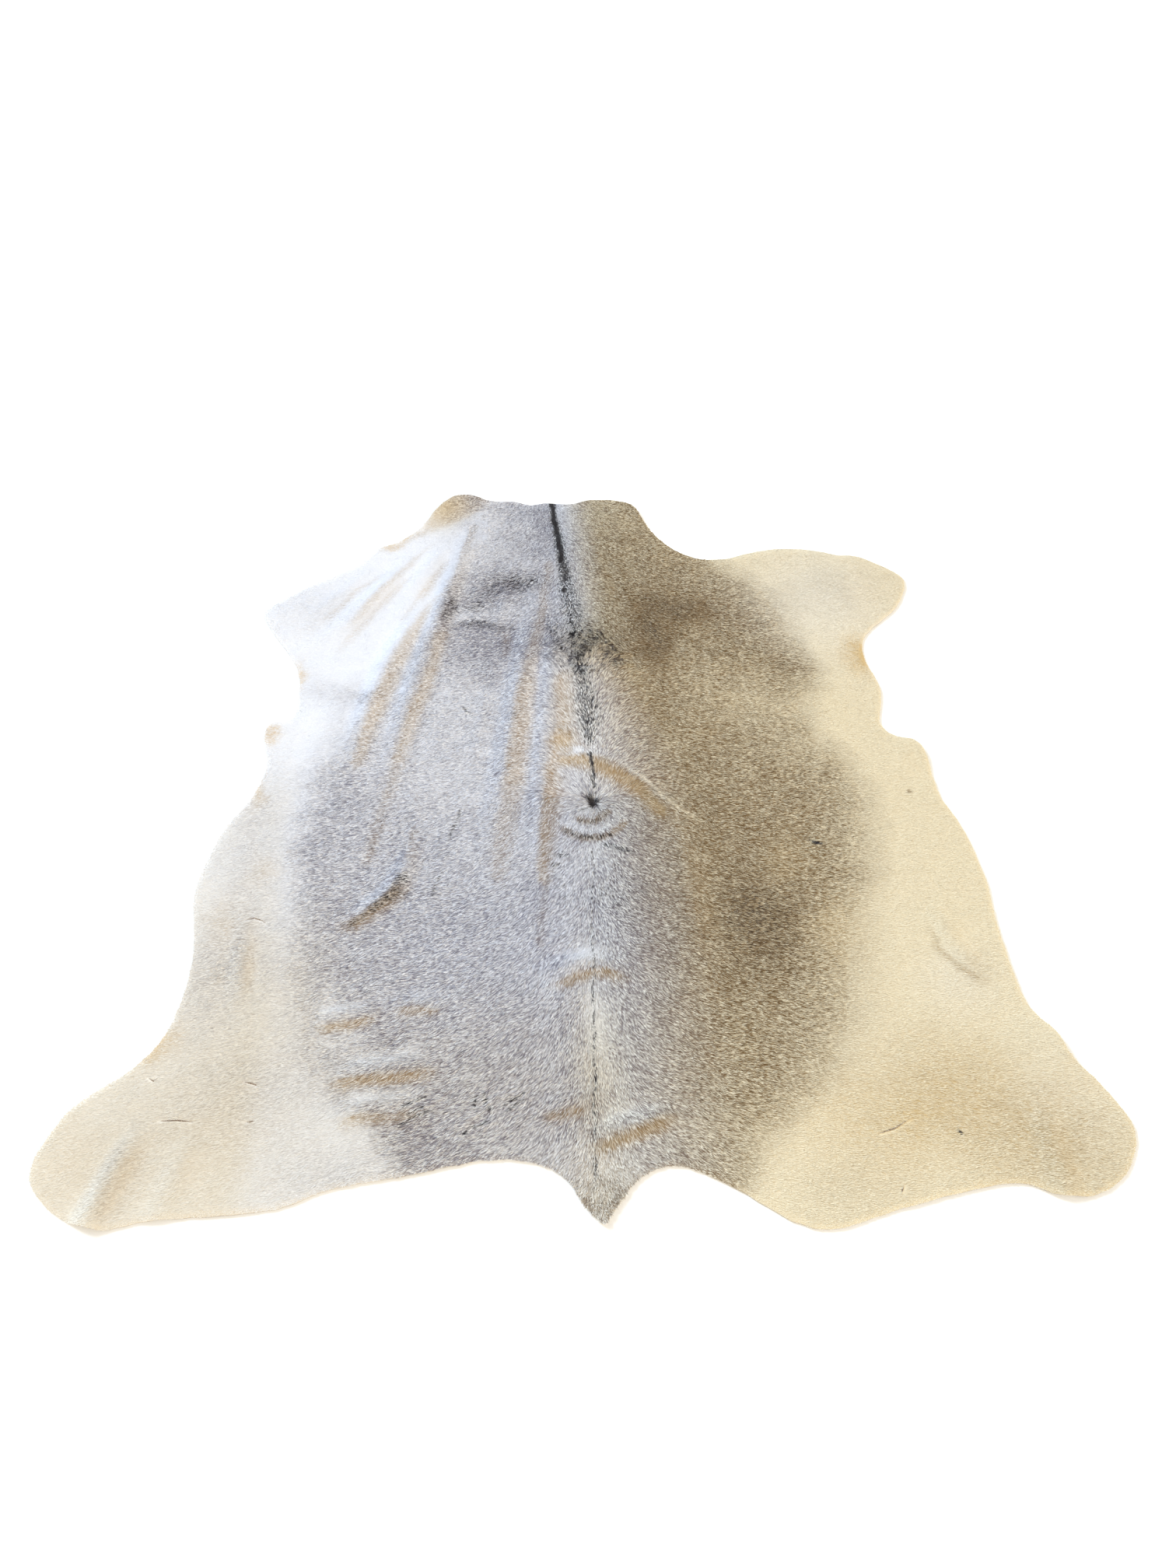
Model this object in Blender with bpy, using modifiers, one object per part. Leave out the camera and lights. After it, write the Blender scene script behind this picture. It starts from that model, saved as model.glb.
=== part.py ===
"""A cowhide rug: one whole hide, tanned with its coat on, lying hair side up on a floor.

The neck points to +Y, the tail to -Y and the coat to +Z. Where the hide lies flat its underside is at Z = 0.
Every size and place is in metres.
"""

from collections import namedtuple
from math import pi, sin

import bmesh
import bpy
import numpy as np
from mathutils.geometry import delaunay_2d_cdt

# The sheet: its leather, and the short coat that lies flat on it
LEATHER = 0.0025
COAT = 0.0025

# How far apart the surface's points are: round the edge, on flat ground, and along and across a fold
EDGE_STEP = 0.020
FIELD_STEP = 0.062
CREST_STEP = 0.030
ROW_STEP = 0.013

# How near a point of a fold, of the curl's line and of the flat ground may come to those already there
FOLD_CLEARANCE = 0.0095
CURL_CLEARANCE = 0.015
FIELD_CLEARANCE = 0.034

# A smooth line is worked out at this many places between two of its given points
PLACES_BETWEEN = 24

# Outline points that fall closer than this become one
SAME_POINT = 1e-6

# The share of a fold's length over which each end runs out
RUN_OUT = 0.35

# The coat's mean colour, and its sheen
COAT_COLOUR = (0.50, 0.44, 0.37)
COAT_ROUGHNESS = 0.75

# The cut edge, clockwise from the neck's raised left corner: x, y
EDGE = {
    "neck": (
        (-0.215, 1.071), (-0.170, 1.055), (-0.135, 1.045), (-0.090, 1.042), (-0.045, 1.020),
        (-0.010, 1.030), (0.075, 1.021), (0.120, 1.037), (0.220, 1.016), (0.250, 0.995),
    ),
    "right shoulder": (
        (0.270, 0.935), (0.295, 0.867), (0.340, 0.800), (0.400, 0.753), (0.480, 0.745),
        (0.545, 0.764), (0.620, 0.778),
    ),
    "right front leg": (
        (0.720, 0.769), (0.795, 0.738), (0.840, 0.733), (0.870, 0.715), (0.950, 0.635),
        (0.949, 0.600), (0.905, 0.517), (0.792, 0.402),
    ),
    "right flank": (
        (0.779, 0.330), (0.794, 0.215), (0.767, 0.098), (0.790, 0.063), (0.837, 0.043),
        (0.850, 0.010), (0.851, -0.125), (0.875, -0.210), (0.889, -0.370), (0.880, -0.465),
        (0.886, -0.670), (0.920, -0.730),
    ),
    "right hind leg": (
        (0.932, -0.780), (0.984, -0.870), (0.999, -0.932), (0.963, -1.000), (0.920, -1.031),
        (0.880, -1.043), (0.823, -1.040), (0.775, -1.016), (0.735, -1.012),
    ),
    "rump": (
        (0.560, -1.040), (0.405, -1.072), (0.355, -1.059), (0.230, -0.975), (0.160, -0.943),
        (0.118, -0.946), (0.080, -0.966),
    ),
    "tail": ((0.040, -1.010), (0.015, -1.039), (-0.012, -1.005)),
    "left rump": (
        (-0.052, -0.946), (-0.100, -0.922), (-0.177, -0.911), (-0.330, -0.931), (-0.475, -0.949),
        (-0.545, -0.974),
    ),
    "left hind leg": (
        (-0.700, -0.981), (-0.780, -0.983), (-0.855, -0.993), (-0.905, -0.979), (-0.957, -0.946),
        (-0.999, -0.890), (-0.965, -0.787), (-0.930, -0.746), (-0.857, -0.692), (-0.807, -0.625),
    ),
    "left flank": (
        (-0.780, -0.465), (-0.802, -0.290), (-0.793, -0.225), (-0.762, -0.120), (-0.711, -0.029),
        (-0.690, 0.069), (-0.707, 0.165), (-0.692, 0.197), (-0.662, 0.197), (-0.641, 0.240),
        (-0.641, 0.325), (-0.655, 0.390),
    ),
    "left front leg": ((-0.748, 0.562), (-0.755, 0.605), (-0.712, 0.645), (-0.645, 0.706)),
    "left shoulder": (
        (-0.577, 0.749), (-0.505, 0.804), (-0.473, 0.853), (-0.424, 0.874), (-0.365, 0.930),
        (-0.308, 1.013), (-0.255, 1.058),
    ),
}

# Ripples and creases that stand up from the sheet: height, half the width, and the crest's x, y
Fold = namedtuple("Fold", "name height half_width crest")
FOLDS = (
    Fold("outer shoulder ripple", 0.007, 0.046, ((-0.36, 0.83), (-0.44, 0.70), (-0.53, 0.57), (-0.61, 0.45))),
    Fold("small shoulder ripple", 0.005, 0.032, ((-0.28, 0.86), (-0.35, 0.73), (-0.41, 0.61))),
    Fold(
        "elbow ripple", 0.013, 0.043,
        ((-0.325, 0.65), (-0.378, 0.51), (-0.425, 0.38), (-0.455, 0.26), (-0.485, 0.12), (-0.505, 0.01)),
    ),
    Fold(
        "long ripple", 0.013, 0.038,
        (
            (-0.195, 0.99), (-0.235, 0.82), (-0.262, 0.71), (-0.290, 0.59), (-0.320, 0.46),
            (-0.345, 0.34), (-0.378, 0.20), (-0.400, 0.07), (-0.415, -0.08),
        ),
    ),
    Fold(
        "inner ripple", 0.012, 0.042,
        (
            (-0.030, 0.73), (-0.045, 0.57), (-0.075, 0.42), (-0.100, 0.26), (-0.120, 0.12),
            (-0.138, 0.00), (-0.162, -0.13), (-0.185, -0.29),
        ),
    ),
    Fold(
        "ripple beside the spine", 0.009, 0.034,
        (
            (-0.003, 0.62), (-0.010, 0.38), (-0.025, 0.22), (-0.045, 0.07), (-0.055, -0.06),
            (-0.062, -0.20), (-0.065, -0.36),
        ),
    ),
    Fold(
        "arch over the whorl", 0.010, 0.032,
        (
            (-0.020, 0.045), (0.035, 0.050), (0.090, 0.027), (0.140, -0.003), (0.180, -0.047),
            (0.215, -0.093), (0.260, -0.145), (0.310, -0.190),
        ),
    ),
    Fold("roll beside the loin", 0.005, 0.060, ((0.260, -0.100), (0.245, -0.350), (0.225, -0.620))),
    Fold("pucker above the arch", 0.006, 0.026, ((-0.035, 0.120), (0.000, 0.127), (0.040, 0.115))),
    Fold("cross crease", 0.009, 0.031, ((-0.08, -0.545), (-0.02, -0.520), (0.03, -0.508), (0.11, -0.550))),
    Fold("upper loin crease, outer", 0.008, 0.024, ((-0.52, -0.607), (-0.45, -0.602), (-0.38, -0.598))),
    Fold("upper loin crease, inner", 0.006, 0.022, ((-0.39, -0.588), (-0.32, -0.584), (-0.25, -0.590))),
    Fold("rump crease", 0.010, 0.027, ((-0.49, -0.727), (-0.38, -0.722), (-0.26, -0.716))),
    Fold("lower rump crease", 0.006, 0.024, ((-0.47, -0.801), (-0.39, -0.797), (-0.30, -0.801))),
    Fold("tail crease, left", 0.006, 0.022, ((-0.075, -0.813), (-0.025, -0.806), (0.025, -0.810))),
    Fold("tail crease, right", 0.010, 0.026, ((0.01, -0.872), (0.08, -0.860), (0.17, -0.836))),
    Fold(
        "flank pucker", 0.012, 0.029,
        ((-0.480, -0.390), (-0.410, -0.345), (-0.375, -0.300), (-0.352, -0.245), (-0.335, -0.170)),
    ),
    Fold(
        "left hind leg crease", 0.010, 0.034,
        ((-0.800, -0.780), (-0.845, -0.890), (-0.880, -0.980), (-0.930, -1.100)),
    ),
    Fold("left thigh crease", 0.004, 0.034, ((-0.700, -0.790), (-0.740, -0.910), (-0.790, -1.090))),
    Fold("left flank crease", 0.006, 0.026, ((-0.695, -0.330), (-0.680, -0.450), (-0.677, -0.580))),
    Fold("right flank crease", 0.005, 0.036, ((0.760, -0.410), (0.775, -0.520), (0.815, -0.620))),
    Fold("right hind leg crease", 0.006, 0.036, ((0.845, -0.840), (0.836, -0.940), (0.840, -1.140))),
)

# Broad low rises: x, y of the middle, radius and height
Swell = namedtuple("Swell", "name x y radius height")
SWELLS = (
    Swell("right hock", 0.930, -0.760, 0.13, 0.008),
    Swell("right front leg", 0.800, 0.640, 0.17, 0.005),
    Swell("left front leg", -0.720, 0.600, 0.14, 0.007),
    Swell("left elbow", -0.690, 0.170, 0.08, 0.006),
    Swell("right elbow", 0.840, 0.020, 0.09, 0.005),
    Swell("left hind leg", -0.960, -0.830, 0.13, 0.007),
    Swell("withers", 0.120, 0.480, 0.16, 0.004),
    Swell("right neck corner", 0.230, 0.990, 0.12, 0.006),
)

# The neck's left corner curls up beyond this line, by CURL_LIFT at CURL_REACH from it
CURL_LINE = (
    (-0.430, 0.930), (-0.365, 0.925), (-0.300, 0.935), (-0.250, 0.965), (-0.200, 1.000), (-0.165, 1.080),
)
CURL_REACH = 0.085
CURL_LIFT = 0.027
CURL_STEEPENING = 1.5


def clear_scene():
    for old in list(bpy.data.objects):
        bpy.data.objects.remove(old)


def smooth_line(points, step, closed=False):
    """Points about a step apart on a smooth curve through the given ones."""
    knots = np.array(points, float)
    if closed:
        knots = np.vstack([knots[-1:], knots, knots[:2]])
    else:
        knots = np.vstack([2 * knots[0] - knots[1], knots, 2 * knots[-1] - knots[-2]])
    curve = [knots[1:2]]
    share = np.linspace(0, 1, PLACES_BETWEEN + 1)[1:, None]
    for before, start, end, after in zip(knots, knots[1:], knots[2:], knots[3:]):
        # The spacing's square root as the parameter keeps the curve free of loops
        pace = [np.linalg.norm(b - a) ** 0.5 for a, b in ((before, start), (start, end), (end, after))]
        leave = pace[1] * ((start - before) / pace[0] - (end - before) / (pace[0] + pace[1])) + end - start
        arrive = pace[1] * ((after - end) / pace[2] - (after - start) / (pace[1] + pace[2])) + end - start
        curve.append(
            (2 * share**3 - 3 * share**2 + 1) * start
            + (share**3 - 2 * share**2 + share) * leave
            + (3 * share**2 - 2 * share**3) * end
            + (share**3 - share**2) * arrive
        )
    curve = np.vstack(curve)
    distance = np.append(0, np.cumsum(np.linalg.norm(np.diff(curve, axis=0), axis=1)))
    stops = np.linspace(0, distance[-1], max(2, round(distance[-1] / step)) + 1)
    line = np.column_stack([np.interp(stops, distance, curve[:, axis]) for axis in (0, 1)])
    return line[:-1] if closed else line


def along_and_beside(line, points):
    """Each point's share of the way along a line, and its distance from it, positive on the left."""
    start, run = line[:-1], np.diff(line, axis=0)
    length = np.linalg.norm(run, axis=1)
    gap = points[:, None] - start
    share = np.clip((gap * run).sum(2) / length**2, 0, 1)
    distance = np.linalg.norm(gap - share[..., None] * run, axis=2)
    row = np.arange(len(points))
    near = distance.argmin(1)
    side = np.sign(run[near, 0] * gap[row, near, 1] - run[near, 1] * gap[row, near, 0])
    before = np.append(0, np.cumsum(length))
    along = (before[near] + share[row, near] * length[near]) / before[-1]
    return along, side * distance[row, near]


def ease(share):
    """A smooth step from 0 to 1."""
    share = np.clip(share, 0, 1)
    return share * share * (3 - 2 * share)


def relief(points):
    """The underside's height over the floor at each x, y."""
    height = np.zeros(len(points))
    for fold in FOLDS:
        along, beside = along_and_beside(smooth_line(fold.crest, CREST_STEP), points)
        across = ease(1 - np.abs(beside) / fold.half_width)
        height += fold.height * across * ease(np.minimum(along, 1 - along) / RUN_OUT)
    for swell in SWELLS:
        away = np.hypot(points[:, 0] - swell.x, points[:, 1] - swell.y)
        height += swell.height * ease(1 - away / swell.radius)
    along, beyond = along_and_beside(smooth_line(CURL_LINE, CREST_STEP), points)
    curled = (beyond > 0) & (along > 0) & (along < 1)
    return height + curled * CURL_LIFT * (np.abs(beyond) / CURL_REACH) ** CURL_STEEPENING


def rows_beside(line, half_width):
    """Rows of points along a crest, on it and out to both of its feet."""
    run = np.gradient(line, axis=0)
    left = np.column_stack([-run[:, 1], run[:, 0]]) / np.linalg.norm(run, axis=1)[:, None]
    count = 2 * round(half_width / ROW_STEP) + 1
    return [line + offset * left for offset in np.linspace(-half_width, half_width, count)]


def field(edge):
    """Points in an even pattern of equal-sided triangles over the whole hide."""
    low, high = edge.min(0), edge.max(0)
    rows = np.arange(low[1], high[1], FIELD_STEP * sin(pi / 3))
    columns = np.arange(low[0], high[0], FIELD_STEP)
    return np.vstack([
        np.column_stack([columns + FIELD_STEP / 2 * (i % 2), np.full(len(columns), y)])
        for i, y in enumerate(rows)
    ])


def inside(edge, points):
    """Which points lie within the edge, by how often a line from each to the right crosses it."""
    start, end = edge, np.roll(edge, -1, axis=0)
    x, y = points[:, :1], points[:, 1:]
    spans = (start[:, 1] > y) != (end[:, 1] > y)
    rise = np.where(spans, end[:, 1] - start[:, 1], 1)
    crossing = start[:, 0] + (y - start[:, 1]) / rise * (end[:, 0] - start[:, 0])
    return (spans & (crossing > x)).sum(1) % 2 == 1


def spread_points(edge):
    """The edge's points, then those of the folds, the curl and the flat ground, none of them crowded."""
    folds = [
        row for fold in FOLDS for row in rows_beside(smooth_line(fold.crest, CREST_STEP), fold.half_width)
    ]
    groups = (
        (np.vstack(folds), FOLD_CLEARANCE),
        (smooth_line(CURL_LINE, CREST_STEP), CURL_CLEARANCE),
        (field(edge), FIELD_CLEARANCE),
    )
    kept = edge
    for group, clearance in groups:
        for point in group[inside(edge, group)]:
            if np.hypot(*(kept - point).T).min() > clearance:
                kept = np.vstack([kept, point])
    return kept


def coat_material():
    material = bpy.data.materials.new("coat")
    material.use_nodes = True
    surface = material.node_tree.nodes["Principled BSDF"]
    surface.inputs["Base Color"].default_value = (*COAT_COLOUR, 1)
    surface.inputs["Roughness"].default_value = COAT_ROUGHNESS
    surface.inputs["Metallic"].default_value = 0
    return material


def hide(collection):
    """The hide's underside as one surface, thickened upwards to the tips of its coat."""
    edge = smooth_line([point for stretch in EDGE.values() for point in stretch], EDGE_STEP, closed=True)
    count = len(edge)
    rim = [(i, (i + 1) % count) for i in range(count)]
    points, _, triangles, *_ = delaunay_2d_cdt(spread_points(edge).tolist(), rim, [], 0, SAME_POINT, False)
    points, triangles = np.array([tuple(point) for point in points]), np.array(triangles)
    triangles = triangles[inside(edge, points[triangles].mean(1))]
    surface = bpy.data.meshes.new("hide")
    surface.from_pydata(np.column_stack([points, relief(points)]), [], triangles.tolist())
    shape = bmesh.new()
    shape.from_mesh(surface)
    bmesh.ops.recalc_face_normals(shape, faces=shape.faces)
    if sum(face.normal.z for face in shape.faces) < 0:
        bmesh.ops.reverse_faces(shape, faces=shape.faces)
    shape.to_mesh(surface)
    shape.free()
    surface.shade_smooth()
    surface.materials.append(coat_material())
    sheet = bpy.data.objects.new("hide", surface)
    collection.objects.link(sheet)
    thickness = sheet.modifiers.new("thickness", "SOLIDIFY")
    thickness.thickness = LEATHER + COAT
    thickness.offset = 1
    return sheet


def main():
    clear_scene()
    rug = bpy.data.collections.new("cowhide_rug")
    bpy.context.scene.collection.children.link(rug)
    hide(rug)


main()
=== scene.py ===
"""A cowhide rug lying hair side up on a pale floor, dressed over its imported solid.

The leather is a fine sheet that follows the solid's folds. Its short coat is laid on it hair by hair in five bands.
Every size and place is in metres, in the solid's own frame: the neck points to +Y and the hair side to +Z.
"""

import logging
from dataclasses import dataclass, field
from enum import Enum
from math import cos, pi, radians, sin
from typing import Any, NamedTuple, Sequence

import bmesh
import bpy
import numpy as np
from mathutils.bvhtree import BVHTree
from mathutils.geometry import delaunay_2d_cdt
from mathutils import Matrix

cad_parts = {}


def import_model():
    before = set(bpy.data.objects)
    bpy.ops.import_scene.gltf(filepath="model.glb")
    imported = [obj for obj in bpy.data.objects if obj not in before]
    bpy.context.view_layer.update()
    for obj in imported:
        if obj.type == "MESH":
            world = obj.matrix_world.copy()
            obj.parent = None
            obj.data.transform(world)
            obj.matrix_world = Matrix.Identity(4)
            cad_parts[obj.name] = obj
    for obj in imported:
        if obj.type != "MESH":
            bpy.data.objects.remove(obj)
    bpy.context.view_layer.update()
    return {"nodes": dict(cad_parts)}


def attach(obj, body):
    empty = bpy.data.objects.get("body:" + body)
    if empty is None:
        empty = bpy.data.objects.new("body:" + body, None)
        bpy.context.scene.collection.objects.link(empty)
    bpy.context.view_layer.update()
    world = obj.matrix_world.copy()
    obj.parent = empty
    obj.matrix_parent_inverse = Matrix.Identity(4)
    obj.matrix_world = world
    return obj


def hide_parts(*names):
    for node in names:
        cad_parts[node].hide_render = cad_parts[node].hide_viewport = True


LOG = logging.getLogger("cowhide_rug")

NODE = "hide"
BODY = "root"

# The solid's sheet is leather with its coat lying on it
LEATHER = 0.0025
COAT = 0.0025

# Where each hair colour is mixed in, and each hair's own shade
MARKS = "marks"
SHADE = "shade"

Array = np.ndarray
Colour = tuple[float, float, float]


class Side(Enum):
    """The leather's two faces, in the order of its material slots."""

    HAIR = 0
    FLESH = 1


class Blotch(NamedTuple):
    """A soft oval of another colour: its middle, half sizes, turn in degrees, and strength."""

    name: str
    x: float
    y: float
    across: float
    along: float
    turn: float
    strength: float


class Streak(NamedTuple):
    """A soft line of another colour: its points, its half width at both ends, and how grey and how tan it is.

    Where lean is above zero it fades out wider to its left than to its right, and the blunter, the crisper its edge.
    """

    name: str
    points: tuple[tuple[float, float], ...]
    first_width: float
    last_width: float
    grey: float
    tan: float
    lean: float = 0
    blunt: float = 2.4


class SaddleRow(NamedTuple):
    """How far the grey saddle reaches to both sides at one y, and how wide it fades out there."""

    y: float
    left: float
    left_fade: float
    right: float
    right_fade: float


class Crease(NamedTuple):
    """A fine wrinkle that the solid leaves out: its points, half width and height."""

    name: str
    points: tuple[tuple[float, float], ...]
    width: float
    height: float


class Scar(NamedTuple):
    """A healed cut: its points and its width."""

    name: str
    points: tuple[tuple[float, float], ...]
    width: float


SPINE = (
    (0.016, 1.060), (0.018, 0.950), (0.026, 0.850), (0.034, 0.770), (0.038, 0.690), (0.045, 0.620),
    (0.050, 0.540), (0.054, 0.450), (0.056, 0.360), (0.062, 0.280), (0.068, 0.180), (0.068, 0.060),
    (0.065, -0.088), (0.050, -0.250), (0.035, -0.500), (0.020, -0.750), (0.008, -0.950), (0.012, -1.060),
)
WHORL = (0.064, -0.096)
CREST = (0.058, 0.400)

SADDLE = (
    SaddleRow(1.08, -0.230, 0.300, 0.360, 0.100),
    SaddleRow(0.80, -0.220, 0.260, 0.400, 0.120),
    SaddleRow(0.70, -0.270, 0.160, 0.460, 0.200),
    SaddleRow(0.60, -0.310, 0.110, 0.540, 0.220),
    SaddleRow(0.50, -0.345, 0.140, 0.570, 0.220),
    SaddleRow(0.40, -0.400, 0.200, 0.590, 0.160),
    SaddleRow(0.30, -0.450, 0.240, 0.630, 0.160),
    SaddleRow(0.20, -0.490, 0.220, 0.610, 0.200),
    SaddleRow(0.10, -0.530, 0.200, 0.635, 0.200),
    SaddleRow(0.00, -0.575, 0.150, 0.660, 0.170),
    SaddleRow(-0.20, -0.600, 0.100, 0.675, 0.150),
    SaddleRow(-0.35, -0.570, 0.190, 0.645, 0.190),
    SaddleRow(-0.50, -0.545, 0.260, 0.545, 0.290),
    SaddleRow(-0.65, -0.490, 0.260, 0.490, 0.280),
    SaddleRow(-0.80, -0.430, 0.180, 0.410, 0.240),
    SaddleRow(-0.90, -0.340, 0.120, 0.320, 0.160),
    SaddleRow(-1.08, -0.250, 0.100, 0.200, 0.100),
)

# What is added to the grey, or taken from it where the strength is below zero
GREY_BLOTCHES = (
    Blotch("left shoulder, top", -0.104, 0.684, 0.080, 0.042, -4, 0.46),
    Blotch("left shoulder, inner arm", -0.082, 0.650, 0.024, 0.034, 10, 0.20),
    Blotch("left shoulder, outer arm", -0.165, 0.630, 0.060, 0.050, 20, 0.30),
    Blotch("left shoulder, flecks", -0.200, 0.590, 0.030, 0.022, 0, 0.14),
    Blotch("left shoulder, by the ripple", -0.275, 0.580, 0.020, 0.056, -10, 0.42),
    Blotch("left shoulder, bar", -0.176, 0.510, 0.068, 0.020, -6, 0.42),
    Blotch("left shoulder, pale above the bar", -0.155, 0.558, 0.060, 0.024, 20, -0.12),
    Blotch("left shoulder, pale by the ripple", -0.230, 0.545, 0.028, 0.026, 0, -0.14),
    Blotch("left shoulder, lower", -0.170, 0.425, 0.125, 0.080, 0, 0.34),
    Blotch("left shoulder, smudge", -0.150, 0.330, 0.035, 0.022, 0, 0.20),
    Blotch("left elbow smudge", -0.530, 0.280, 0.080, 0.030, -18, 0.16),
    Blotch("left of the crest", -0.014, 0.440, 0.030, 0.070, 0, 0.26),
    Blotch("left flank, upper", -0.520, -0.080, 0.100, 0.160, 0, 0.10),
    Blotch("left flank, lower", -0.450, -0.330, 0.150, 0.120, 0, 0.04),
    Blotch("left ribs, pale", -0.250, 0.140, 0.120, 0.220, 0, -0.14),
    Blotch("left belly", -0.330, -0.130, 0.100, 0.100, 0, 0.01),
    Blotch("left loin", -0.280, -0.460, 0.250, 0.180, 0, 0.13),
    Blotch("left rump", -0.220, -0.780, 0.180, 0.120, 0, 0.02),
    Blotch("left rump edge", -0.310, -0.868, 0.060, 0.050, 30, 0.20),
    Blotch("neck, left of the line", -0.010, 0.930, 0.035, 0.110, 0, 0.30),
    Blotch("neck, left", -0.160, 0.930, 0.080, 0.100, 0, -0.10),
    Blotch("neck, right", 0.210, 0.750, 0.100, 0.110, 0, 0.05),
    Blotch("neck, right top", 0.150, 0.960, 0.110, 0.110, 0, -0.24),
    Blotch("right shoulder, inner", 0.250, 0.430, 0.050, 0.120, 4, 0.50),
    Blotch("right shoulder, middle", 0.320, 0.550, 0.130, 0.072, -20, 0.40),
    Blotch("right shoulder, outer", 0.430, 0.500, 0.140, 0.080, 0, 0.03),
    Blotch("right of the crest", 0.135, 0.400, 0.050, 0.055, 0, 0.26),
    Blotch("right of the spine, pale", 0.095, 0.640, 0.022, 0.160, 4, -0.16),
    Blotch("right elbow smudge", 0.590, 0.320, 0.090, 0.035, -12, 0.16),
    Blotch("right ribs, pale", 0.460, 0.215, 0.160, 0.085, -15, -0.31),
    Blotch("right belly, pale", 0.590, 0.060, 0.120, 0.110, 0, -0.30),
    Blotch("right ribs, inner", 0.225, 0.180, 0.090, 0.180, 0, 0.11),
    Blotch("right loin", 0.395, -0.440, 0.115, 0.150, -20, 0.31),
    Blotch("right loin, pale", 0.540, -0.440, 0.060, 0.090, -10, -0.20),
    Blotch("right back", 0.350, -0.180, 0.100, 0.160, 0, 0.13),
    Blotch("right belly edge, pale", 0.620, -0.250, 0.075, 0.170, 0, -0.26),
    Blotch("right of the spine, low", 0.150, -0.110, 0.060, 0.140, 0, 0.06),
    Blotch("right of the midline", 0.150, -0.420, 0.080, 0.200, 0, 0.24),
    Blotch("right rump, pale", 0.240, -0.880, 0.110, 0.080, 0, -0.18),
    Blotch("right loin, inner dark", 0.290, -0.580, 0.030, 0.045, 0, 0.16),
    Blotch("midline, upper", 0.020, -0.330, 0.050, 0.110, 0, -0.02),
    Blotch("midline, lower", 0.026, -0.670, 0.034, 0.170, 0, -0.36),
    Blotch("tail", 0.012, -0.970, 0.080, 0.080, 0, -0.32),
    Blotch("round the whorl", 0.060, -0.116, 0.026, 0.020, 0, -0.34),
    Blotch("under the rings", 0.055, -0.232, 0.040, 0.018, 0, -0.22),
    Blotch("beside the rings", 0.165, -0.200, 0.050, 0.060, 0, 0.16),
    Blotch("left front leg", -0.620, 0.610, 0.160, 0.110, 0, 0.10),
    Blotch("left flank, edge", -0.690, -0.130, 0.075, 0.190, 0, 0.19),
    Blotch("left flank, low edge", -0.720, -0.500, 0.110, 0.150, 0, 0.15),
    Blotch("left elbow", -0.620, 0.330, 0.080, 0.080, 0, 0.05),
    Blotch("left thigh", -0.600, -0.740, 0.180, 0.130, 0, 0.18),
    Blotch("left rump, low", -0.430, -0.930, 0.150, 0.070, 0, 0.16),
    Blotch("left hind leg", -0.820, -0.850, 0.130, 0.120, 0, 0.08),
    # Painted shade beside the left hind leg crease's highlight
    Blotch("left hind leg crease", -0.852, -0.930, 0.012, 0.080, -4, 0.08),
    Blotch("right hind leg", 0.840, -0.950, 0.150, 0.110, -20, 0.20),
    Blotch("right thigh", 0.640, -0.820, 0.180, 0.120, 0, 0.10),
    Blotch("right rump edge", 0.450, -1.000, 0.100, 0.060, 0, 0.08),
    # Painted shade in the right flank fold
    Blotch("right flank fold", 0.800, -0.580, 0.050, 0.040, 0, 0.10),
    Blotch("right front leg", 0.760, 0.600, 0.170, 0.110, 0, 0.10),
    # Painted shade in the left flank fold
    Blotch("left flank fold", -0.700, -0.420, 0.080, 0.160, 0, 0.11),
    Blotch("speck on the right flank", 0.782, -0.112, 0.005, 0.004, 0, 0.90),
    Blotch("speck on the neck", 0.175, 0.990, 0.004, 0.009, 0, 0.90),
)

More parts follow.
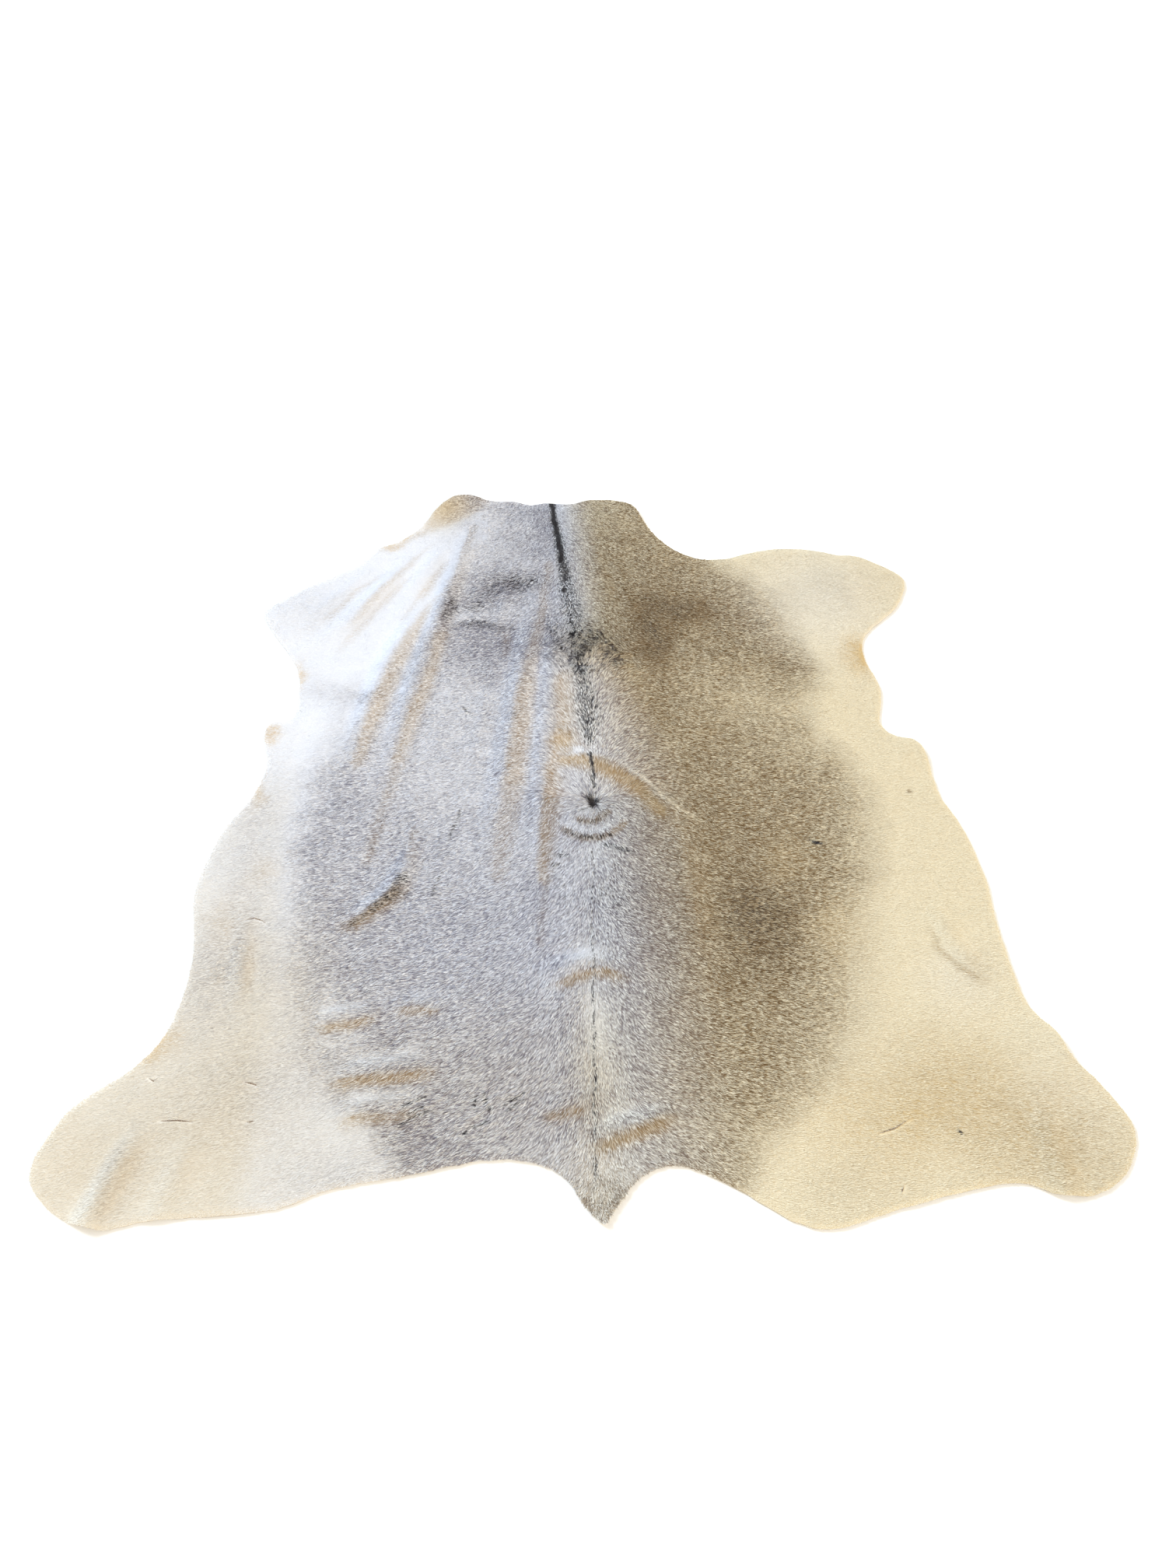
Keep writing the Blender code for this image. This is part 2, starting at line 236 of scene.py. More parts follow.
BLACK_BLOTCHES = (
    Blotch("left shoulder, top", -0.092, 0.688, 0.070, 0.032, -4, 0.44),
    Blotch("left shoulder, inner arm", -0.080, 0.655, 0.022, 0.030, 10, 0.16),
    Blotch("left shoulder, outer arm", -0.165, 0.635, 0.044, 0.040, 20, 0.20),
    Blotch("left shoulder, flecks", -0.200, 0.592, 0.030, 0.020, 0, 0.20),
    Blotch("left shoulder, by the ripple", -0.268, 0.590, 0.018, 0.050, -10, 0.34),
    Blotch("left shoulder, bar", -0.172, 0.512, 0.062, 0.015, -6, 0.42),
    Blotch("right loin", 0.385, -0.430, 0.100, 0.120, -20, 0.20),
    # Painted shade on the flank pucker's shaded side
    Blotch("flank pucker", -0.384, -0.330, 0.013, 0.034, -48, 0.62),
    Blotch("right shoulder, inner", 0.250, 0.445, 0.034, 0.095, 6, 0.18),
    Blotch("right shoulder, middle", 0.320, 0.550, 0.080, 0.052, -20, 0.13),
    Blotch("crest, left", 0.002, 0.440, 0.022, 0.074, 0, 0.28),
    Blotch("crest, middle", 0.050, 0.445, 0.032, 0.070, 0, 0.25),
    Blotch("crest, foot", 0.055, 0.340, 0.046, 0.035, 0, 0.28),
    Blotch("crest, right", 0.108, 0.430, 0.028, 0.068, 10, 0.32),
    Blotch("crest, far right", 0.146, 0.395, 0.036, 0.050, 0, 0.24),
    Blotch("tuft at the slit's side", 0.064, 0.392, 0.006, 0.012, 0, 0.80),
    Blotch("tuft over the crest", 0.046, 0.478, 0.009, 0.011, 0, 0.80),
    Blotch("second tuft", 0.044, 0.515, 0.010, 0.010, 0, 0.60),
    Blotch("third tuft", 0.046, 0.560, 0.010, 0.012, 0, 0.60),
    Blotch("line's last black", 0.040, 0.645, 0.009, 0.018, 0, 0.95),
    Blotch("whorl", 0.062, -0.086, 0.006, 0.013, 0, 1.10),
    Blotch("spot on the right thigh", 0.680, -0.909, 0.004, 0.007, 20, 1.40),
    Blotch("nick on the right belly", 0.541, -0.232, 0.012, 0.005, -28, 1.45),
    Blotch("left of the midline", -0.011, -0.330, 0.014, 0.050, 0, 0.11),
    Blotch("right of the midline, upper", 0.066, -0.345, 0.016, 0.020, 0, 0.16),
    Blotch("right of the midline", 0.110, -0.370, 0.040, 0.070, 0, 0.15),
    Blotch("whorl, left", 0.040, -0.106, 0.013, 0.005, 20, 0.45),
    Blotch("mark under the whorl", -0.006, -0.233, 0.010, 0.006, 0, 0.75),
    Blotch("lower mark under the whorl", -0.020, -0.268, 0.008, 0.007, 0, 0.60),
)

WARM_BLOTCHES = (
    Blotch("crest", 0.062, 0.420, 0.055, 0.085, 0, 0.34),
    Blotch("ribs below the crest", 0.020, 0.180, 0.050, 0.120, 0, 0.12),
    Blotch("midline, low", 0.022, -0.760, 0.050, 0.230, 0, 0.30),
    Blotch("left rump", -0.170, -0.740, 0.160, 0.150, 0, 0.03),
    Blotch("left thigh edge", -0.580, -0.560, 0.090, 0.200, 0, 0.20),
    Blotch("tail", 0.014, -1.000, 0.060, 0.050, 0, 0.20),
    # Painted warm lamp light and shade on the curled-up neck corner
    Blotch("neck corner", -0.290, 1.010, 0.080, 0.060, 52, 0.75),
    Blotch("right front leg", 0.700, 0.560, 0.200, 0.240, 0, -0.26),
    Blotch("right hind leg", 0.900, -0.860, 0.120, 0.120, 0, -0.08),
    Blotch("right flank crease", 0.760, -0.600, 0.080, 0.080, 0, -0.12),
    Blotch("right ribs", 0.420, 0.200, 0.200, 0.180, 0, 0.10),
    Blotch("right belly", 0.560, -0.270, 0.120, 0.240, 0, 0.14),
)

STAINS = (
    Blotch("right elbow notch", 0.768, 0.340, 0.030, 0.060, 0, 1.00),
    Blotch("left elbow notch", -0.640, 0.355, 0.016, 0.045, 0, 0.40),
    Blotch("left elbow", -0.697, 0.165, 0.020, 0.030, 0, 0.45),
    Blotch("left belly edge", -0.700, -0.020, 0.016, 0.040, 0, 0.40),
    Blotch("left hock edge", -0.815, -0.655, 0.045, 0.020, 40, 0.50),
    Blotch("left flank, upper", -0.665, -0.240, 0.035, 0.035, 0, 0.16),
    Blotch("left flank, middle", -0.725, -0.370, 0.035, 0.045, 0, 0.18),
    Blotch("left thigh", -0.690, -0.850, 0.150, 0.130, 0, 0.08),
    Blotch("left hind leg tip", -0.950, -0.860, 0.060, 0.080, 0, 0.08),
    Blotch("left shoulder edge", -0.400, 0.880, 0.050, 0.014, 38, 0.35),
    Blotch("left shoulder corner", -0.435, 0.850, 0.030, 0.014, 0, 0.35),
    Blotch("patch above the arch", 0.006, 0.088, 0.044, 0.030, 0, 0.36),
    Blotch("tail", 0.010, -0.960, 0.070, 0.080, 0, 0.10),
    Blotch("right thigh", 0.560, -0.880, 0.190, 0.100, 0, 0.30),
    Blotch("right thigh, by the scar", 0.600, -0.880, 0.050, 0.030, 20, 0.16),
    Blotch("right hock", 0.700, -0.800, 0.130, 0.090, 0, 0.26),
    Blotch("right hind leg", 0.820, -0.940, 0.130, 0.090, 0, 0.30),
    Blotch("right ribs", 0.380, 0.190, 0.110, 0.120, 0, 0.14),
    Blotch("right loin", 0.520, -0.450, 0.060, 0.090, -10, 0.34),
    Blotch("right back", 0.460, -0.290, 0.045, 0.070, -20, 0.40),
)

DARK_LINES = (
    Streak("neck line", SPINE[:4], 0.009, 0.012, 0.98, 0),
    Streak("shoulder line", SPINE[3:5], 0.014, 0.016, 0.80, 0),
    Streak("shoulder line, low", SPINE[4:7], 0.018, 0.026, 0.48, 0),
    Streak("withers line", SPINE[6:8], 0.026, 0.030, 0.26, 0),
    Streak("crest slit", ((0.056, 0.402), (0.053, 0.348)), 0.004, 0.004, 1.0, 0),
    Streak("under the crest", SPINE[8:10], 0.022, 0.018, 0.52, 0),
    Streak("rib line, upper", SPINE[9:11], 0.020, 0.027, 0.58, 0),
    Streak("rib line, lower", SPINE[10:11] + ((0.064, 0.085),), 0.027, 0.010, 0.58, 0),
    Streak("arch line", ((0.063, 0.045), (0.064, 0.010), (0.064, -0.060)), 0.006, 0.004, 0.74, 0),
    # The whorl's rings: painted shade in the hair's relief
    Streak("inner ring", ((0.030, -0.143), (0.048, -0.151), (0.072, -0.143), (0.088, -0.122)), 0.006, 0.005, 0.34, 0),
    Streak("outer ring", ((-0.006, -0.168), (0.020, -0.186), (0.055, -0.196), (0.090, -0.186)), 0.007, 0.006, 0.40, 0),
    Streak("upper rib slit", ((-0.232, 0.218), (-0.224, 0.206), (-0.211, 0.190)), 0.0020, 0.0020, 0.60, 0),
    Streak("middle rib slit", ((-0.235, -0.100), (-0.246, -0.140), (-0.262, -0.178)), 0.0022, 0.0022, 0.62, 0),
    Streak("lower rib slit", ((-0.272, -0.272), (-0.284, -0.300), (-0.296, -0.330)), 0.0022, 0.0022, 0.60, 0),
    # Painted shade in the rump's fine wrinkles
    Streak("rump wrinkle, first", ((-0.203, -0.787), (-0.207, -0.809)), 0.0028, 0.0028, 0.56, 0),
    Streak("rump wrinkle, second", ((-0.189, -0.780), (-0.186, -0.798), (-0.178, -0.811)), 0.0028, 0.0028, 0.56, 0),
    Streak("rump wrinkle, third", ((-0.150, -0.805), (-0.114, -0.785)), 0.0028, 0.0028, 0.56, 0),
    Streak("rump wrinkle, fourth", ((-0.143, -0.815), (-0.114, -0.798)), 0.0028, 0.0028, 0.56, 0),
    Streak("rump wrinkle, fifth", ((-0.334, -0.801), (-0.299, -0.784)), 0.0028, 0.0028, 0.56, 0),
    Streak("rump wrinkle, sixth", ((-0.323, -0.816), (-0.299, -0.803)), 0.0028, 0.0028, 0.56, 0),
    Streak("rump wrinkle, seventh", ((-0.340, -0.838), (-0.306, -0.819), (-0.281, -0.813)), 0.0028, 0.0028, 0.56, 0),
    Streak("rump wrinkle, eighth", ((-0.228, -0.861), (-0.179, -0.835)), 0.0028, 0.0028, 0.56, 0),
    # Painted shade in the whorl's third ring
    Streak("third ring", ((0.075, -0.212), (0.100, -0.224), (0.132, -0.240)), 0.007, 0.006, 0.36, 0),
    Streak("midline, upper", ((0.052, -0.225), (0.044, -0.340), (0.033, -0.500)), 0.0025, 0.0025, 0.26, 0),
    # Painted shade on the flank pucker's shaded side
    Streak("flank pucker", ((-0.462, -0.388), (-0.417, -0.361), (-0.378, -0.326), (-0.354, -0.280)), 0.006, 0.013, 0.46, 0),
    Streak("midline", ((0.033, -0.500), (0.020, -0.750), (0.006, -0.980)), 0.0028, 0.0038, 0.36, 0),
)

# Painted light beside each ripple: tan, as painted shade and warm lamp light, on the side that looks back and right,
# and pale, as a painted window highlight, on the other. The curled neck corner and the whorl's rings are painted the
# same way.
RIPPLE_PAINTED_LIGHT = (
    Streak(
        "elbow ripple", ((-0.310, 0.630), (-0.345, 0.550), (-0.385, 0.450), (-0.420, 0.330)),
        0.017, 0.020, 0.10, 0.20, 0.3,
    ),
    Streak(
        "elbow ripple, low", ((-0.420, 0.330), (-0.450, 0.220), (-0.468, 0.140), (-0.480, 0.060)),
        0.022, 0.017, 0.00, 0.27, 0.3,
    ),
    Streak(
        "long ripple", ((-0.212, 0.930), (-0.240, 0.800), (-0.256, 0.700), (-0.272, 0.600), (-0.292, 0.480)),
        0.010, 0.017, 0.13, 0.09, 0.3,
    ),
    Streak(
        "long ripple, low",
        (
            (-0.292, 0.480), (-0.312, 0.370), (-0.335, 0.280),
            (-0.362, 0.170), (-0.385, 0.060),
        ),
        0.018, 0.018, -0.02, 0.26, 0.3,
    ),
    Streak(
        "long ripple, last", ((-0.385, 0.060), (-0.410, -0.060), (-0.430, -0.170)),
        0.018, 0.016, 0.04, 0.16, 0.3,
    ),
    Streak(
        "inner ripple",
        (
            (-0.004, 0.760), (-0.018, 0.640), (-0.040, 0.500),
            (-0.062, 0.400), (-0.080, 0.300),
        ),
        0.012, 0.018, 0.07, 0.17, 0.3,
    ),
    Streak(
        "inner ripple, low", ((-0.080, 0.300), (-0.094, 0.200), (-0.108, 0.080), (-0.122, -0.020)),
        0.021, 0.030, 0.08, 0.29, 0.3,
    ),
    Streak(
        "inner ripple, last", ((-0.122, -0.020), (-0.138, -0.140), (-0.158, -0.280)),
        0.030, 0.020, 0.06, 0.17, 0.3,
    ),
    Streak(
        "beside the spine", ((0.010, 0.300), (0.014, 0.200), (0.002, 0.110), (-0.022, 0.010)),
        0.026, 0.024, 0.05, 0.38, 0.3,
    ),
    Streak(
        "beside the spine, low", ((-0.022, 0.010), (-0.038, -0.090), (-0.050, -0.190), (-0.058, -0.300)),
        0.022, 0.014, 0.26, 0.40, 0.3,
    ),
    # Painted warm shade on the curled-up neck corner, which faces the lamp
    Streak(
        "neck corner", ((-0.385, 0.925), (-0.300, 0.985), (-0.210, 1.050)),
        0.044, 0.044, 0.28, 0.13, 0, 7.0,
    ),
    Streak(
        "beside the spine, last", ((-0.058, -0.290), (-0.063, -0.380), (-0.068, -0.460)),
        0.012, 0.008, 0.20, 0.10, 0.3,
    ),
    Streak("arch", ((0.000, 0.030), (0.052, 0.030), (0.085, 0.012)), 0.020, 0.024, 0.16, 0.68, -0.2),
    Streak(
        "arch, right leg", ((0.078, 0.014), (0.112, -0.011), (0.145, -0.042), (0.177, -0.078), (0.212, -0.126)),
        0.023, 0.019, 0.50, 0.80, -0.25,
    ),
    Streak(
        "under the arch's end", ((0.215, -0.130), (0.250, -0.190), (0.262, -0.320), (0.262, -0.440)),
        0.020, 0.022, 0.06, 0.20, 0.3,
    ),
    Streak(
        "pale, left of the elbow ripple",
        (
            (-0.360, 0.620), (-0.410, 0.520),
            (-0.440, 0.400), (-0.465, 0.300),
        ),
        0.023, 0.020, -0.08, -0.06,
    ),
    Streak(
        "pale, elbow to long ripple", ((-0.298, 0.620), (-0.330, 0.500), (-0.356, 0.390), (-0.378, 0.290)),
        0.015, 0.018, -0.06, -0.10,
    ),
    Streak(
        "pale, elbow to long ripple, low",
        (
            (-0.378, 0.290), (-0.402, 0.190),
            (-0.430, 0.070), (-0.450, -0.020),
        ),
        0.018, 0.020, -0.12, -0.12,
    ),
    Streak(
        "pale, right of the long ripple",
        (
            (-0.262, 0.370), (-0.284, 0.240),
            (-0.312, 0.110), (-0.340, -0.020),
        ),
        0.016, 0.018, -0.05, -0.06,
    ),
    Streak(
        "pale, left of the inner ripple",
        (
            (-0.058, 0.600), (-0.084, 0.480),
            (-0.100, 0.380), (-0.113, 0.280),
        ),
        0.015, 0.014, -0.08, -0.14,
    ),
    Streak(
        "pale, left of the inner ripple, low",
        (
            (-0.113, 0.280), (-0.130, 0.150),
            (-0.150, 0.010), (-0.172, -0.120),
        ),
        0.014, 0.015, 0.03, -0.10,
    ),
    Streak(
        "pale, beside the spine", ((0.002, 0.620), (-0.004, 0.480), (-0.022, 0.350), (-0.032, 0.240)),
        0.012, 0.015, 0.06, -0.12,
    ),
    Streak(
        "pale, beside the spine, low",
        (
            (-0.032, 0.240), (-0.046, 0.110),
            (-0.060, 0.000), (-0.078, -0.110),
        ),
        0.013, 0.017, 0.02, -0.14,
    ),
    Streak(
        "pale, beside the spine, last", ((-0.078, -0.110), (-0.092, -0.220), (-0.104, -0.330)),
        0.019, 0.017, 0.02, -0.12,
    ),
    # The whorl's rings: brown painted shade and a pale painted highlight on the hair's relief
    Streak(
        "brown inner ring", ((0.028, -0.141), (0.048, -0.151), (0.072, -0.143), (0.090, -0.118)),
        0.009, 0.008, 0.38, 0.50,
    ),
    Streak(
        "brown outer ring",
        (
            (-0.008, -0.166), (0.020, -0.187), (0.055, -0.198),
            (0.090, -0.187), (0.118, -0.156),
        ),
        0.010, 0.009, 0.40, 0.44,
    ),
    Streak(
        "pale, in the rings",
        (
            (0.000, -0.150), (0.030, -0.169), (0.062, -0.174),
            (0.096, -0.158), (0.114, -0.132),
        ),
        0.012, 0.010, -0.20, -0.10,
    ),
)

# Painted light beside the short creases: tan painted shade on one side, a pale painted highlight on the other, and
# darker painted shade along the flank pucker and the flank and hind leg creases. They fade out towards both ends.
CREASE_PAINTED_LIGHT = (
    Streak("withers, left", ((-0.118, 0.500), (-0.126, 0.440), (-0.132, 0.380)), 0.014, 0.014, 0.20, 0.14),
    Streak(
        "cross crease", ((-0.062, -0.570), (-0.010, -0.545), (0.034, -0.533), (0.066, -0.538), (0.108, -0.562)),
        0.012, 0.012, 0.40, 0.56, -0.3,
    ),
    Streak(
        "upper loin crease, outer", ((-0.525, -0.626), (-0.450, -0.621), (-0.385, -0.616)),
        0.012, 0.012, 0.08, 0.44, -0.3,
    ),
    Streak(
        "upper loin crease, inner", ((-0.370, -0.602), (-0.320, -0.598), (-0.260, -0.604)),
        0.010, 0.010, 0.12, 0.34, -0.3,
    ),
    Streak(
        "rump crease", ((-0.495, -0.746), (-0.380, -0.740), (-0.262, -0.733)),
        0.014, 0.014, 0.24, 0.56, -0.3,
    ),
    Streak(
        "lower rump crease", ((-0.470, -0.824), (-0.390, -0.819), (-0.280, -0.814)),
        0.011, 0.013, 0.16, 0.36, -0.3,
    ),
    Streak("tail crease, left", ((-0.090, -0.836), (-0.050, -0.829), (0.010, -0.817)), 0.011, 0.011, 0.36, 0.46, -0.3),
    Streak(
        "tail crease, right", ((-0.010, -0.905), (0.069, -0.879), (0.175, -0.846)),
        0.013, 0.012, 0.34, 0.62, -0.3,
    ),
    Streak(
        "flank pucker", ((-0.500, -0.396), (-0.455, -0.385), (-0.417, -0.361), (-0.378, -0.326), (-0.352, -0.270)),
        0.013, 0.016, 0.95, 0.66, -0.3,
    ),
    Streak(
        "above the pucker", ((-0.350, -0.260), (-0.345, -0.200), (-0.338, -0.130)),
        0.012, 0.010, 0.14, 0.16, -0.3,
    ),
    Streak(
        "elbow ripple's foot", ((-0.402, -0.080), (-0.410, -0.140), (-0.430, -0.205), (-0.440, -0.260)),
        0.010, 0.011, 0.26, 0.22, -0.3,
    ),
    Streak(
        "shoulder ripple, first", ((-0.262, 0.820), (-0.331, 0.680), (-0.397, 0.546), (-0.424, 0.474)),
        0.009, 0.012, 0.30, 0.13, 0.3,
    ),
    Streak(
        "shoulder ripple, second", ((-0.300, 0.890), (-0.406, 0.749), (-0.492, 0.610), (-0.545, 0.500)),
        0.008, 0.012, 0.26, 0.12, 0.3,
    ),
    Streak(
        "shoulder ripple, third", ((-0.350, 0.765), (-0.451, 0.625), (-0.530, 0.480), (-0.575, 0.400)),
        0.009, 0.014, 0.26, 0.10, 0.3,
    ),
    Streak(
        "shoulder ripple, outer", ((-0.440, 0.770), (-0.544, 0.647), (-0.615, 0.520)),
        0.009, 0.014, 0.24, 0.12, 0.3,
    ),
    Streak("left flank streak", ((-0.664, -0.400), (-0.660, -0.560)), 0.010, 0.012, 0.05, 0.13),
    # Painted shade beside the left hind leg's crease, and over its crest to dull the highlight there
    Streak(
        "left hind leg streak", ((-0.800, -0.835), (-0.822, -0.920), (-0.838, -1.000)),
        0.026, 0.028, 0.28, 0.08, -0.3,
    ),
    Streak(
        "left hind leg's crest", ((-0.821, -0.815), (-0.848, -0.856), (-0.866, -0.897), (-0.896, -0.973)),
        0.015, 0.017, 0.36, 0.03, 0,
    ),
    Streak(
        "right flank crease", ((0.735, -0.455), (0.739, -0.520), (0.752, -0.552), (0.784, -0.590), (0.835, -0.618)),
        0.006, 0.008, 0.80, 0.26, -0.3,
    ),
    Streak("pale, over the arch", ((0.020, 0.062), (0.050, 0.061)), 0.011, 0.011, -0.30, -0.60),
    Streak(
        "pale, along the arch", ((0.110, 0.028), (0.170, -0.035), (0.227, -0.102), (0.275, -0.148), (0.330, -0.200)),
        0.007, 0.007, -0.42, -0.20,
    ),
    Streak(
        "pale, over the cross crease", ((-0.040, -0.500), (0.030, -0.485), (0.085, -0.505)),
        0.024, 0.024, -0.23, -0.10,
    ),
    Streak("pale, over the loin crease", ((-0.530, -0.592), (-0.410, -0.584)), 0.018, 0.018, -0.18, -0.18),
    Streak("pale, over the inner loin crease", ((-0.360, -0.574), (-0.250, -0.568)), 0.016, 0.016, -0.16, -0.10),
    Streak("pale, under the loin crease", ((-0.520, -0.662), (-0.400, -0.656)), 0.018, 0.018, -0.16, -0.14),
    Streak(
        "pale, over the rump crease", ((-0.470, -0.703), (-0.380, -0.698), (-0.270, -0.693)),
        0.026, 0.024, -0.28, -0.24,
    ),
    Streak(
        "pale, under the rump crease", ((-0.470, -0.780), (-0.380, -0.776), (-0.290, -0.780)),
        0.024, 0.024, -0.22, -0.22,
    ),
    Streak("pale, over the tail crease", ((0.030, -0.838), (0.100, -0.826)), 0.020, 0.020, -0.18, -0.12),
    Streak(
        "pale, over the flank pucker", ((-0.480, -0.366), (-0.430, -0.334), (-0.398, -0.292), (-0.372, -0.225)),
        0.014, 0.013, -0.10, -0.06,
    ),
)

CREASES = (
    Crease("shoulder, first", ((-0.300, 0.780), (-0.370, 0.640), (-0.440, 0.500)), 0.016, 0.0022),
    Crease("shoulder, second", ((-0.405, 0.760), (-0.500, 0.600), (-0.560, 0.470)), 0.018, 0.0022),
    Crease("shoulder, third", ((-0.470, 0.780), (-0.570, 0.660), (-0.650, 0.560)), 0.018, 0.0020),
    Crease("withers, left", ((-0.115, 0.690), (-0.135, 0.560), (-0.165, 0.440)), 0.014, 0.0018),
    Crease("beside the inner ripple", ((-0.175, 0.300), (-0.195, 0.150), (-0.215, 0.000)), 0.014, 0.0016),
    Crease("neck, right", ((0.110, 0.900), (0.130, 0.720), (0.160, 0.540)), 0.016, 0.0020),
    Crease("neck, far right", ((0.170, 0.800), (0.190, 0.640), (0.215, 0.500)), 0.015, 0.0018),
    Crease("rump wrinkle, first", ((-0.215, -0.868), (-0.180, -0.840), (-0.150, -0.832)), 0.006, 0.0018),
    Crease("rump wrinkle, second", ((-0.235, -0.850), (-0.205, -0.822), (-0.170, -0.808)), 0.006, 0.0018),
    Crease("rump wrinkle, third", ((-0.190, -0.810), (-0.160, -0.790), (-0.125, -0.785)), 0.006, 0.0015),
    Crease("rump wrinkle, fourth", ((-0.330, -0.812), (-0.290, -0.800), (-0.250, -0.772)), 0.006, 0.0016),
    Crease("whorl lip", ((0.010, -0.170), (0.055, -0.195), (0.105, -0.165)), 0.010, 0.0025),
)

SCARS = (
    Scar("left flank", ((-0.685, -0.368), (-0.668, -0.362), (-0.650, -0.370), (-0.638, -0.382)), 0.003),
    Scar("left thigh", ((-0.785, -0.800), (-0.755, -0.800), (-0.722, -0.806)), 0.003),
    Scar("left hock", ((-0.822, -0.712), (-0.812, -0.719), (-0.804, -0.712)), 0.003),
    Scar("left loin", ((-0.640, -0.732), (-0.625, -0.736), (-0.612, -0.742)), 0.003),
    Scar("left rump", ((-0.626, -0.812), (-0.612, -0.810)), 0.003),
    Scar("right rump", ((0.528, -0.908), (0.560, -0.900), (0.595, -0.882)), 0.003),
    Scar("right rump edge", ((0.545, -1.018), (0.552, -1.005)), 0.003),
)


def ease(share: Array) -> Array:
    """A smooth step from 0 to 1.

    Args:
        share: Values of which those from 0 to 1 count.

    Returns:
        The eased values.
    """
    share = np.clip(share, 0, 1)
    return share * share * (3 - 2 * share)


def mottle(points: Array, size: float, seed: int) -> Array:
    """Smooth, even noise over the floor plan.

    Args:
        points: The x, y places to read it at.
        size: How far apart its patches are.
        seed: Which of the many patterns.

    Returns:
        A value from -1 to 1 for each place.
    """
    cells = 256
    values = np.random.default_rng(seed).uniform(-1, 1, (cells, cells))
    place = points / size + cells / 2
    low = np.floor(place).astype(int)
    share = ease(place - low)
    x, y = low[:, 0] % cells, low[:, 1] % cells
    right, above = (x + 1) % cells, (y + 1) % cells
    bottom = values[x, y] * (1 - share[:, 0]) + values[right, y] * share[:, 0]
    top = values[x, above] * (1 - share[:, 0]) + values[right, above] * share[:, 0]
    return bottom * (1 - share[:, 1]) + top * share[:, 1]


def along_and_away(line: Array, points: Array) -> tuple[Array, Array, Array]:
    """Where places lie beside a line.

    Args:
        line: The line's own points.
        points: The x, y places.

    Returns:
        Each place's share of the way along the line, its distance from it, and 1 on the line's left or -1.
    """
    length = np.linalg.norm(np.diff(line, axis=0), axis=1)
    before = np.append(0, np.cumsum(length))
    best = np.full(len(points), np.inf)
    along, side = np.zeros((2, len(points)))
    for start, end, size, done in zip(line, line[1:], length, before):
        run, offset = end - start, points - start
        share = np.clip(offset @ run / size**2, 0, 1)
        away = np.hypot(*(offset - share[:, None] * run).T)
        closer = away < best
        best = np.where(closer, away, best)
        along = np.where(closer, (done + share * size) / before[-1], along)
        side = np.where(closer, np.sign(run[0] * offset[:, 1] - run[1] * offset[:, 0]), side)
    return along, best, side


def soft_line(
    line: Sequence[tuple[float, float]],
    points: Array,
    widths: tuple[float, float],
    blunt: float,
    fade: float = 0,
    lean: float = 0,
) -> Array:
    """A soft band along a line.

    Args:
        line: The line's own points.
        points: The x, y places.
        widths: The band's half width at its first and last point.
        blunt: How flat the band's middle is, a power from 2 up.
        fade: Over what share of its length it fades out at each end.
        lean: How much wider it is on the line's left than on its right, from -1 to 1.

    Returns:
        From 0 to 1 for each place.
    """
    band = np.zeros(len(points))
    line = np.array(line)
    reach = 2 * (1 + abs(lean)) * max(widths)
    near = np.flatnonzero(((points > line.min(0) - reach) & (points < line.max(0) + reach)).all(1))
    if len(near):
        along, away, side = along_and_away(line, points[near])
        width = (widths[0] + (widths[1] - widths[0]) * along) * (1 + lean * side)
        band[near] = np.exp(-((away / width) ** blunt))
        if fade:
            band[near] *= ease(along / fade) * ease((1 - along) / fade)
    return band


def smoothed(line: Array, step: float) -> Array:
    """A line through the same points with its corners rounded.

    Args:
        line: The line's points.
        step: How far apart the new points are.

    Returns:
        The rounded line's points.
    """
    for _ in range(3):
        first, last = line[:1], line[-1:]
        cut = np.stack([0.75 * line[:-1] + 0.25 * line[1:], 0.25 * line[:-1] + 0.75 * line[1:]], 1)
        line = np.vstack([first, cut.reshape(-1, 2), last])
    distance = np.append(0, np.cumsum(np.linalg.norm(np.diff(line, axis=0), axis=1)))
    stops = np.linspace(0, distance[-1], max(2, round(distance[-1] / step)) + 1)
    return np.column_stack([np.interp(stops, distance, line[:, axis]) for axis in (0, 1)])


def turned(directions: Array, degrees: Array) -> Array:
    """Directions over the floor plan turned to the left.

    Args:
        directions: One unit vector for each.
        degrees: How far each is turned.

    Returns:
        The turned unit vectors.
    """
    angle = np.arctan2(directions[:, 1], directions[:, 0]) + np.radians(degrees)
    return np.column_stack([np.cos(angle), np.sin(angle)])


def inside(edge: Array, points: Array) -> Array:
    """Which places lie within a closed edge.

    Args:
        edge: The edge's points in order.
        points: The x, y places.

    Returns:
        True for each place within.
    """
    found = np.zeros(len(points), bool)
    x, y = points.T
    for start, end in zip(edge, np.roll(edge, -1, axis=0)):
        if start[1] == end[1]:
            continue
        spans = (start[1] > y) != (end[1] > y)
        crossing = start[0] + (y - start[1]) / (end[1] - start[1]) * (end[0] - start[0])
        found ^= spans & (crossing > x)
    return found


@dataclass
class Chart:
    """Values on a square grid over the floor plan, read anywhere between its points."""

    low: Array
    step: float
    values: Array

    def places(self) -> Array:
        """The grid's own x, y points, one row each."""
        index = np.stack(np.meshgrid(*(np.arange(n) for n in self.values.shape), indexing="ij"), -1)
        return self.low + index.reshape(-1, 2) * self.step

    def read(self, points: Array) -> Array:
        """The value at each place.

        Args:
            points: The x, y places.

        Returns:
            One value for each.
        """
        place = (points - self.low) / self.step
        cell = np.clip(np.floor(place).astype(int), 0, np.array(self.values.shape) - 2)
        u, v = np.clip(place - cell, 0, 1).T
        i, j = cell.T
        first = self.values[i, j] * (1 - u) + self.values[i + 1, j] * u
        second = self.values[i, j + 1] * (1 - u) + self.values[i + 1, j + 1] * u
        return first * (1 - v) + second * v


